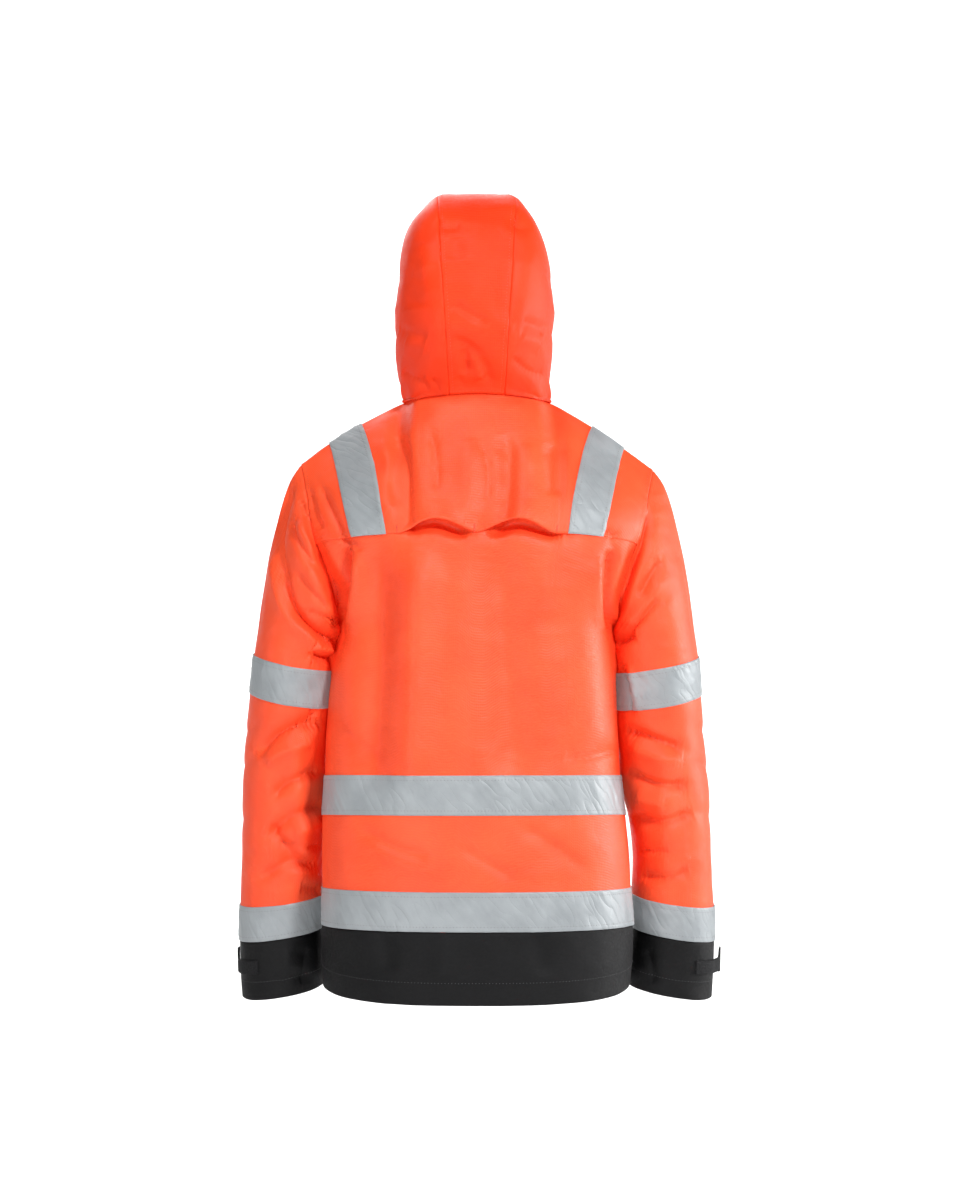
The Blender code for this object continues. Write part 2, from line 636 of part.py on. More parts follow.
def hood_grids(loop):
    """Grids of the hood's centre panel and of its two side panels, face to nape."""
    neck, ring = hood_neck_points(loop, HOOD_ROWS)
    total = lengths_along(ring)[-1]
    seam_bottom_length = total - HOOD_PATH[-1][0]
    centre_rows, sides = [], {1: [], -1: []}
    for r in range(HOOD_ROWS):
        share = r / (HOOD_ROWS - 1)
        values = through_rows(HOOD_PATH, share * (len(HOOD_PATH) - 1))
        seam_x, y, z, reach, slope, flare, rise = values
        seam = np.array([seam_x, y, z])
        across = np.linspace(-1, 1, HOOD_CENTRE_COLUMNS + 1)
        if r == HOOD_ROWS - 1:
            seam = at_lengths(ring, [seam_bottom_length])[0]
            low = at_lengths(ring, total - np.abs(across) * (total - seam_bottom_length))
            low[:, 0] *= np.sign(across)
            centre_rows.append(low)
        else:
            round_y = HOOD_CROWN_ROUND * (1 - across**2)
            outward = unit(np.array([0, y, z - HOOD_MIDDLE_Z]))
            row = seam * np.stack([across, np.ones(across.shape), np.ones(across.shape)], axis=1)
            centre_rows.append(row + round_y[:, None] * outward)
        for half in (1, -1):
            start = seam * (half, 1, 1)
            end = neck[r] * (half, 1, 1)
            if r == HOOD_ROWS - 1:
                stops = np.linspace(seam_bottom_length, HOOD_NECK_END, HOOD_SIDE_COLUMNS + 1)
                row = at_lengths(ring, stops) * (half, 1, 1)
                sides[half].append(row)
                continue
            chord = unit((end - start) * (0, 1, 1))
            lean = HOOD_LEAN * math.sin(math.pi * min(share * HOOD_LEAN_LENGTH, 1))
            upright = unit(mix((0, 0, -1), chord, smooth(min(1, share / HOOD_UPRIGHT_UNTIL))))
            first = start + np.array([half * reach + lean, 0, 0]) + chord * slope
            second = end + np.array([half * flare + lean / 2, 0, 0]) - upright * rise
            stops = np.linspace(0, 1, HOOD_SIDE_COLUMNS + 1)
            curve = np.array([bezier((start, first, second, end), t) for t in np.linspace(0, 1, 60)])
            sides[half].append(at_lengths(curve, stops * lengths_along(curve)[-1]))
    centre = np.array(centre_rows)
    left = np.array(sides[1])
    right = np.array(sides[-1])[:, ::-1]
    return centre, left, right


def make_hood(loop, shell):
    centre, left, right = hood_grids(loop)
    whole = np.concatenate([right[:, :-1], centre, left[:, 1:]], axis=1)
    normals = normals_of(whole)
    first = right.shape[1] - 1
    last = first + centre.shape[1] - 1
    add_wall("hood_right", whole[:, : first + 1], normals[:, : first + 1], 0, SHELL_WALL, shell)
    add_wall("hood_centre", whole[:, first : last + 1], normals[:, first : last + 1], 0, SHELL_WALL, shell)
    add_wall("hood_left", whole[:, last:], normals[:, last:], 0, SHELL_WALL, shell)


def armhole_loop(back, front, half):
    """The armhole's edge points: shoulder, down the front, underarm and up the back."""
    underarm = row_of("underarm")
    back_edge = back[: underarm + 1, -1 if half > 0 else 0]
    front_edge = front[: underarm + 1, 0 if half > 0 else -1]
    return np.concatenate([front_edge, back_edge[-2:0:-1]])


def sleeve_ring(values, angles, half):
    z, out, inside, y, depth, roll, drop = values
    power = 2 / SLEEVE_SQUARENESS
    cos, sin = np.cos(angles), np.sin(angles)
    across = np.sign(cos) * np.abs(cos) ** power
    deep = np.sign(sin) * np.abs(sin) ** power
    x = (out + inside) / 2 + (out - inside) / 2 * across
    return np.stack([half * x, y + depth * deep, z + roll * across - drop * deep], axis=1)


def sleeve_grid(loop, table, half):
    """Rows from the armhole to the cuff; columns from the outer side round the front."""
    count = len(loop)
    angles = -2 * math.pi * np.arange(count) / count
    rings = [sleeve_ring(row[1:], angles, half) for row in table]
    cos, sin = np.cos(angles)[:, None], np.sin(angles)[:, None]
    outer, inner, behind = (np.array(p) for p in (CAP_PULL_OUTER, CAP_PULL_INNER, CAP_PULL_BACK))
    even = (outer + inner) / 2
    pull = even + (outer - inner) / 2 * cos + (behind - even) * (1, 0, 1) * np.abs(sin)
    pull[:, 1] = behind[1] * sin[:, 0]
    pull[:, 0] *= half
    down = rings[1] - rings[0]
    down *= (np.linalg.norm(rings[0] - loop, axis=1) / np.linalg.norm(down, axis=1))[:, None]
    cap = [hermite(loop, pull, rings[0], down, k / CAP_ROWS) for k in range(CAP_ROWS)]
    grid = np.array(cap + rings)
    if half < 0:
        grid = np.roll(grid[:, ::-1], 1, axis=1)
    return grid


def make_sleeve(half, loop, shell, dark, tape, hook):
    side_name = "left" if half > 0 else "right"
    grid = sleeve_grid(loop, SLEEVE_LEFT if half > 0 else SLEEVE_RIGHT, half)
    normals = normals_of(grid, wrap=True)
    count = grid.shape[1]
    cuff = CAP_ROWS + RING_NAMES.index("cuff_tape_bottom")
    body = slice(0, cuff + 1)
    middle = count // 2
    order = np.arange(count) if half > 0 else (-np.arange(count)) % count
    front_columns = order[FRONT_SEAM_STATION : middle + 1]
    back_columns = np.concatenate([order[middle:], order[: FRONT_SEAM_STATION + 1]])
    if half < 0:
        front_columns, back_columns = front_columns[::-1], back_columns[::-1]
    for piece, columns in (("front", front_columns), ("back", back_columns)):
        add_wall(
            f"sleeve_{side_name}_{piece}", grid[body][:, columns], normals[body][:, columns],
            0, SHELL_WALL, shell,
        )
    add_wall(
        f"cuff_{side_name}", grid[cuff:], normals[cuff:], 0, SHELL_WALL, dark,
        wrap=True, edges=(1, 0, 0, 0),
    )
    for piece, ring in (("elbow", "elbow_tape_top"), ("forearm", "cuff_tape_top")):
        top = CAP_ROWS + RING_NAMES.index(ring)
        rows = slice(top, top + 2)
        add_wall(
            f"{piece}_tape_{side_name}", grid[rows], normals[rows],
            LAYER_GAP + TAPE_WALL, TAPE_WALL, tape, wrap=True,
        )
    make_tab(side_name, half, grid, normals, order, hook)


def make_tab(side_name, half, grid, normals, order, hook):
    """The cuff's closing tab: it lies on the cuff and its free end stands off at the outer side."""
    top = CAP_ROWS + RING_NAMES.index("tab_top")
    rows = slice(top, top + 2)
    stations = range(-TAB_BACK_STATIONS, TAB_FRONT_STATIONS + 1)
    columns = [order[s % len(order)] for s in stations]
    lift = np.array([TAB_END_STAND * smooth(max(0, s + 1) / (TAB_FRONT_STATIONS + 1)) for s in stations])
    if half < 0:
        columns, lift = columns[::-1], lift[::-1]
    points = grid[rows][:, columns] + normals[rows][:, columns] * lift[None, :, None]
    add_wall(
        f"cuff_tab_{side_name}", points, normals[rows][:, columns],
        LAYER_GAP + TAB_WALL, TAB_WALL, hook,
    )


def add_box(name, low, high, material, bevel=0.0):
    """A box between two corners in millimetres, with its edges rounded by a Bevel."""
    low, high = np.array(low, float), np.array(high, float)
    corners = [(x, y, z) for x in (0, 1) for y in (0, 1) for z in (0, 1)]
    points = np.array([low + (high - low) * corner for corner in corners])
    faces = [(0, 1, 3, 2), (4, 6, 7, 5), (0, 4, 5, 1), (2, 3, 7, 6), (0, 2, 6, 4), (1, 5, 7, 3)]
    obj = add_object(name, points, faces, material)
    if bevel:
        modifier = obj.modifiers.new("Bevel", "BEVEL")
        modifier.width = bevel * MM
        modifier.segments = 2
    return obj


def join_with(obj, helper, operation):
    """Adds a Boolean with a helper that stays out of the model."""
    helper.hide_render = True
    helper.display_type = "WIRE"
    modifier = obj.modifiers.new(helper.name, "BOOLEAN")
    modifier.operation = operation
    modifier.solver = "EXACT"
    modifier.object = helper


def make_slider(metal):
    """The zip's slider, closed to the collar's top, and its pull tab, which hangs in its bridge."""
    back_face = NECK_FRONT[1] + SHELL_WALL
    front_face = back_face - SLIDER_SIZE[1]
    middle = NECK_FRONT[2] + COLLAR_HEIGHT_FRONT - SLIDER_BELOW_TOP
    half_width, half_height = SLIDER_SIZE[0] / 2, SLIDER_SIZE[2] / 2
    slider = add_box(
        "zip_slider", (-half_width, front_face, middle - half_height),
        (half_width, back_face, middle + half_height), metal, bevel=SLIDER_BEVEL,
    )
    room_deep, room_high = BRIDGE_ROOM
    outer = add_box(
        "bridge_outside",
        (-BRIDGE_WIDTH / 2, front_face - room_deep - BRIDGE_WALL, middle - room_high / 2 - BRIDGE_WALL),
        (BRIDGE_WIDTH / 2, front_face + 1, middle + room_high / 2 + BRIDGE_WALL), metal, bevel=BRIDGE_BEVEL,
    )
    room = add_box(
        "bridge_room", (-half_width, front_face - room_deep, middle - room_high / 2),
        (half_width, front_face, middle + room_high / 2), metal,
    )
    join_with(slider, outer, "UNION")
    join_with(slider, room, "DIFFERENCE")

    axis = front_face - PULL_AXIS_FROM_SLIDER
    width, thick, length = PULL_TAB_SIZE
    top = middle + PULL_BAR / 2
    tab = add_box(
        "zip_pull", (-width / 2, axis - thick / 2, top - length), (width / 2, axis + thick / 2, top),
        metal, bevel=PULL_BEVEL,
    )
    hole = add_box(
        "pull_hole", (-PULL_HOLE[0] / 2, axis - thick, top - PULL_BAR - PULL_HOLE[1]),
        (PULL_HOLE[0] / 2, axis + thick, top - PULL_BAR), metal,
    )
    join_with(tab, hole, "DIFFERENCE")


def main():
    for obj in list(bpy.data.objects):
        bpy.data.objects.remove(obj)
    shell, dark, tape, hook, zip_cloth, metal = (make_material(*row) for row in MATERIALS)

    grids, normals = body_grids()
    back, back_normals = grids["back"], normals["back"]
    yoke_grid = make_back(back, back_normals, shell, dark, tape)
    loop = neck_loop(back, grids["left"], grids["right"])
    collar = collar_grid(loop)
    collar_normals = normals_of(collar)
    add_wall("collar", collar, collar_normals, 0, SHELL_WALL, shell)
    make_hood(loop, shell)
    for half, side_name in ((1, "left"), (-1, "right")):
        front, front_normals = grids[side_name], normals[side_name]
        make_front(side_name, front, front_normals, shell, dark, tape)
        shoulder_tape(half, yoke_grid, back_normals, front, front_normals, tape)
        zip_strip(side_name, half, front, front_normals, collar, collar_normals, zip_cloth)
        make_sleeve(half, armhole_loop(back, front, half), shell, dark, tape, hook)
    make_slider(metal)


main()
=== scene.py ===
import itertools
import math

import bpy
import numpy as np
from bpy.props import FloatProperty, FloatVectorProperty, PointerProperty
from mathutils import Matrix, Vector, noise


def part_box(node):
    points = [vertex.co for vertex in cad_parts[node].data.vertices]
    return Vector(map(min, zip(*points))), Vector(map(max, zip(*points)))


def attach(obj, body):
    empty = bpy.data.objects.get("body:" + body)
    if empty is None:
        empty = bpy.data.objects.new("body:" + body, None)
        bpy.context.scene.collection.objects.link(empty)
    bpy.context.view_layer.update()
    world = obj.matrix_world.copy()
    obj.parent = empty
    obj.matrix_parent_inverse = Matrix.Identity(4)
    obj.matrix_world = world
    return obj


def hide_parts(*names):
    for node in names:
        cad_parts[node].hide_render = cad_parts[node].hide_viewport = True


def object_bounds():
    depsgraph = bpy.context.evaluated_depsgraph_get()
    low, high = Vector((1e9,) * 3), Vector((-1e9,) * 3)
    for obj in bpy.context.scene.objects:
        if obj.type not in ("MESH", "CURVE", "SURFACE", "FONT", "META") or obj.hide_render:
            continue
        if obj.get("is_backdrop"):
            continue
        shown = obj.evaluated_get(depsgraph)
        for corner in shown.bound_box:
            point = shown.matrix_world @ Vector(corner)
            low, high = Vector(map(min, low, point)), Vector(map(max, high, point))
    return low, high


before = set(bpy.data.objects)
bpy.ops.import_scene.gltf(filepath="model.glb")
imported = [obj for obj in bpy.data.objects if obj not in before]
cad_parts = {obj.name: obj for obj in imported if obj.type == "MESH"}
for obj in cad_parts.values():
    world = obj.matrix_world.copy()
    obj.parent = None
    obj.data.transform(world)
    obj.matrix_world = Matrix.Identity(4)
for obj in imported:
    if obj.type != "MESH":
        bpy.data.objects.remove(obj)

bl_info = {
    "name": "Hi-vis work jacket",
    "version": (1, 0, 0),
    "blender": (4, 5, 0),
    "location": "View3D > Sidebar > Jacket",
    "description": "Cuts, folds, sews and finishes a hooded hi-vis work jacket on its packed solids",
    "category": "Add Mesh",
}

CAD_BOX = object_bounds()
BODY = "jacket"
MM = 0.001
SIDES = ((1, "left"), (-1, "right"))

# The cloth is laid out in millimetres, as the solids are: X to the wearer's left, Y to the back, Z up.
# Rows of a grid run down the cloth and columns run clockwise seen from above, so directions point out.

# Neck and shoulders
NECK_SIDE = (92.0, 0.0, 3.0)
NECK_BACK = (0.0, 70.0, 12.0)
NECK_FRONT = (0.0, -95.0, -62.0)
SHOULDER_POINT = (224.0, 0.0, -79.0)
SHOULDER_CROWN = 5.0
SHOULDER_TILT = 3.5
NECK_PLAN_POWER = 0.92
NECK_RISE_POWER = 1.7
PULL_NECK_BACK = (0.0, 30.0, -72.0)
PULL_NECK_FRONT = (0.0, 22.0, -45.0)
PULL_NECK_SIDE = (0.0, 66.0, -44.0)
PULL_SHOULDER_NECK = (0.0, 104.0, -34.0)
PULL_SHOULDER_POINT = (0.0, 62.0, -62.0)
PULL_SIDEWAYS = 0.8
CURVE_POINTS = 60
ZIP_HALF_OPENING = 6.0
ZIP_STRIP_EDGE = 1.0
COLLAR_HEIGHT_BACK = 58.0
COLLAR_HEIGHT_FRONT = 66.0
COLLAR_TOP_SCALE = 0.88
COLLAR_TAPER_FROM_X = 30.0
COLLAR_ROWS = 14

# Stations along one half of the shoulder and neck edge, from the centre out
STATIONS = (
    # name, back_top, back_yoke, front_top, front_chest, front_lower
    ("centre", 0, 0, 6, 6, 0),
    ("neck_1", 17, 17, 26, 24, 18),
    ("neck_2", 35, 33, 45, 42, 34),
    ("neck_3", 50, 50, 62, 60, 50),
    ("neck_4", 65, 66, 76, 78, 66),
    ("neck_5", 79, 82, 87, 95, 80),
    ("neck_side", 92, 98, 92, 108, 92),
    ("shoulder_1", 119, 105, 119, 122, 104),
    ("tape_inner", 146, 112, 146, 135, 118),
    ("tape_middle", 166, 134, 166, 155, 143),
    ("tape_outer", 187, 156, 187, 175, 168),
    ("cap_1", 197, 168, 197, 182, 195),
    ("cap_2", 206, 180, 206, 189, 222),
    ("cap_3", 215, 191, 215, 195, 248),
    ("edge", 224, 200, 224, 200, 274),
)
HALF = len(STATIONS) - 1
NECK_STATIONS = 6
TAPE_FROM = 8
TAPE_TO = 10

# Levels of the body from the yoke's lower edge to the hem
LEVELS = (
    # name, z_side, z_back, z_front, left, right, y_back, y_front, back, front
    ("yoke", -178, -164, -165, 200, 200, 64, -60, 134, 124),
    ("blade", -210, -200, -200, 189, 189, 66, -62, 136, 129),
    ("scye", -243, -236, -236, 180, 180, 55, -52, 138, 133),
    ("scye_low", -268, -264, -264, 175.5, 174, 34, -32, 139, 135),
    ("underarm", -283, -290, -290, 173.5, 171, 0, 0, 140, 136),
    ("ribs", -317, -322, -322, 181, 174.5, 0, 0, 141, 138),
    ("waist_1", -357, -358, -358, 187, 176.5, 0, 0, 142, 139),
    ("waist_2", -396, -394, -394, 189.5, 178, 0, 0, 143, 140),
    ("waist_3", -434, -429, -429, 192, 180, 0, 0, 143, 141),
    ("mid_tape_top", -471, -463.5, -463.5, 193.5, 182, 0, 0, 144, 142),
    ("mid_tape_bottom", -521, -513, -513, 195.5, 188, 0, 0, 145, 143),
    ("hip_1", -551, -544, -544, 196, 191, 0, 0, 146, 144),
    ("hip_2", -581, -575, -575, 196.5, 193.5, 0, 0, 147, 145),
    ("low_tape_top", -611, -607, -607, 196.5, 195, 0, 0, 147, 146),
    ("low_tape_bottom", -658, -656, -656, 197, 197.5, 0, 0, 148, 147),
    ("hem_1", -695, -702, -700, 197, 197.5, 0, 0, 148, 147),
    ("hem", -730, -747, -742, 195, 194, 0, 0, 148, 147),
)
LEVEL_NAMES = [level[0] for level in LEVELS]
BODY_SQUARENESS = 2.4
YOKE_ROWS = 5
EVEN_FROM = 4
ARCH_SPAN = 98.0
ARCH_RISE = 16.0
ARCH_STAND = 14.0
ARCH_POWER = 1.5
ARCH_STAND_POWER = 1.6

# Sleeve rings below the armhole, from the elbow tape to the cuff
SLEEVE_LEFT = (
    # name, z, out, in, y, depth, roll, drop
    ("elbow_tape_top", -326, 283, 186, -20, 80, 10, 5),
    ("elbow_tape_bottom", -373, 289, 191, -28, 79, 9, 7),
    ("elbow", -428, 296, 193, -36, 77, 5, 5),
    ("forearm_1", -480, 299, 193, -43, 74, 0, 4),
    ("forearm_2", -530, 301, 194, -50, 71, -3, 4),
    ("forearm_3", -580, 303, 195, -56, 68, -5, 4),
    ("cuff_tape_top", -631, 304.5, 196, -62, 65, -7, 4),
    ("cuff_tape_bottom", -675, 305.5, 196.5, -67, 62, -9, 4),
    ("tab_top", -703, 305, 196.5, -70, 60, -9, 4),
    ("tab_bottom", -721, 304.5, 196.5, -72, 59, -9, 4),
    ("cuff", -749, 303, 196, -74, 57, -9, 6),
)
SLEEVE_RIGHT = (
    ("elbow_tape_top", -329, 281, 177.5, -20, 80, 10, 5),
    ("elbow_tape_bottom", -376, 286, 180.5, -28, 79, 9, 7),
    ("elbow", -428, 291, 181.5, -36, 77, 5, 5),
    ("forearm_1", -480, 296, 183, -43, 74, 1, 4),
    ("forearm_2", -530, 299, 194, -50, 71, -2, 4),
    ("forearm_3", -580, 302, 200, -56, 68, -5, 4),
    ("cuff_tape_top", -631, 304, 199, -62, 65, -8, 4),
    ("cuff_tape_bottom", -675, 305, 198.5, -67, 62, -9, 4),
    ("tab_top", -703, 304.5, 196.5, -70, 60, -9, 4),
    ("tab_bottom", -721, 304, 195, -72, 59, -9, 4),
    ("cuff", -749, 303, 193, -74, 57, -9, 6),
)
RING_NAMES = [ring[0] for ring in SLEEVE_LEFT]
SLEEVE_SQUARENESS = 2.15
CAP_ROWS = 5
CAP_PULL_OUTER = (78.0, 0.0, -52.0)
CAP_PULL_INNER = (24.0, -8.0, -42.0)
CAP_PULL_BACK = (56.0, 12.0, -72.0)
FRONT_SEAM_STATION = 2

# Hood: its two seams from the face over the crown to the nape, and its side panels beside them
HOOD_PATH = (
    # seam_x, y, z, reach, slope, flare, rise
    (48, -98, 253, 56, 26, 44, 122),
    (49, -56, 263, 68, 28, 36, 114),
    (50, -10, 266, 72, 28, 32, 110),
    (50, 34, 261, 74, 27, 31, 106),
    (49, 74, 243, 72, 20, 26, 98),
    (47, 104, 212, 62, 14, 24, 88),
    (45, 122, 172, 52, 10, 20, 74),
    (42, 128, 130, 42, 8, 14, 58),
    (39, 122, 90, 30, 6, 9, 40),
    (37, 104, 50, 19, 4, 5, 22),
    (35, 68, 14.5, 12, 0, 0, 10),
)
HOOD_LEAN = 7.0
HOOD_LEAN_LENGTH = 1.1
HOOD_UPRIGHT_UNTIL = 0.625
HOOD_MIDDLE_Z = 120.0
HOOD_CROWN_ROUND = 2.5
HOOD_ROWS = 17
HOOD_SIDE_COLUMNS = 11
HOOD_CENTRE_COLUMNS = 4
HOOD_NECK_START = 18.0
HOOD_NECK_END = 214.0
HOOD_NECK_RISE = -1.0
HOOD_NECK_GAP = 0.9
HOOD_WALL = 1.6
HOOD_HELD = 22.0

# The hood sits a little to one side: past this x its right is drawn in by this share, fully above this height
HOOD_SET_FROM = 50.0
HOOD_SET = 0.145
HOOD_SET_OVER = 40.0
# The crown's corners are pressed flat: how far out the hood may reach to the wearer's left and right
HOOD_LIMITS = (
    # z, left, right
    (100.0, 120.0, 120.0),
    (140.0, 112.0, 112.0),
    (193.0, 104.0, 98.0),
    (222.0, 95.0, 84.0),
    (245.0, 73.0, 66.0),
    (262.0, 57.0, 51.0),
    (272.0, 42.0, 34.0),
)
HOOD_LIMIT_FROM = 0.82

# Fine steps between neighbouring points of each coarse grid
SCYE_STEPS = 12
BODY_STEPS_DOWN = [SCYE_STEPS] * 9 + [10] * 5 + [14] + [8] * 3 + [14] + [11] * 2
STEPS_ACROSS = 5
SLEEVE_STEPS_DOWN = [12] * 5 + [14] + [14] * 5 + [14] + [8] * 3
HOOD_STEPS_DOWN = 8
HOOD_STEPS_ACROSS = [5] * 11 + [7] * 4 + [5] * 11

# How the back's folds are seen: from this far behind, level with the middle of the jacket
EYE_DISTANCE = 4500.0
EYE_HEIGHT = -247.65

# Seams
SEAM_BLEND = 6
LAP_WIDTH = 7.0
LAP_RISE = 0.9

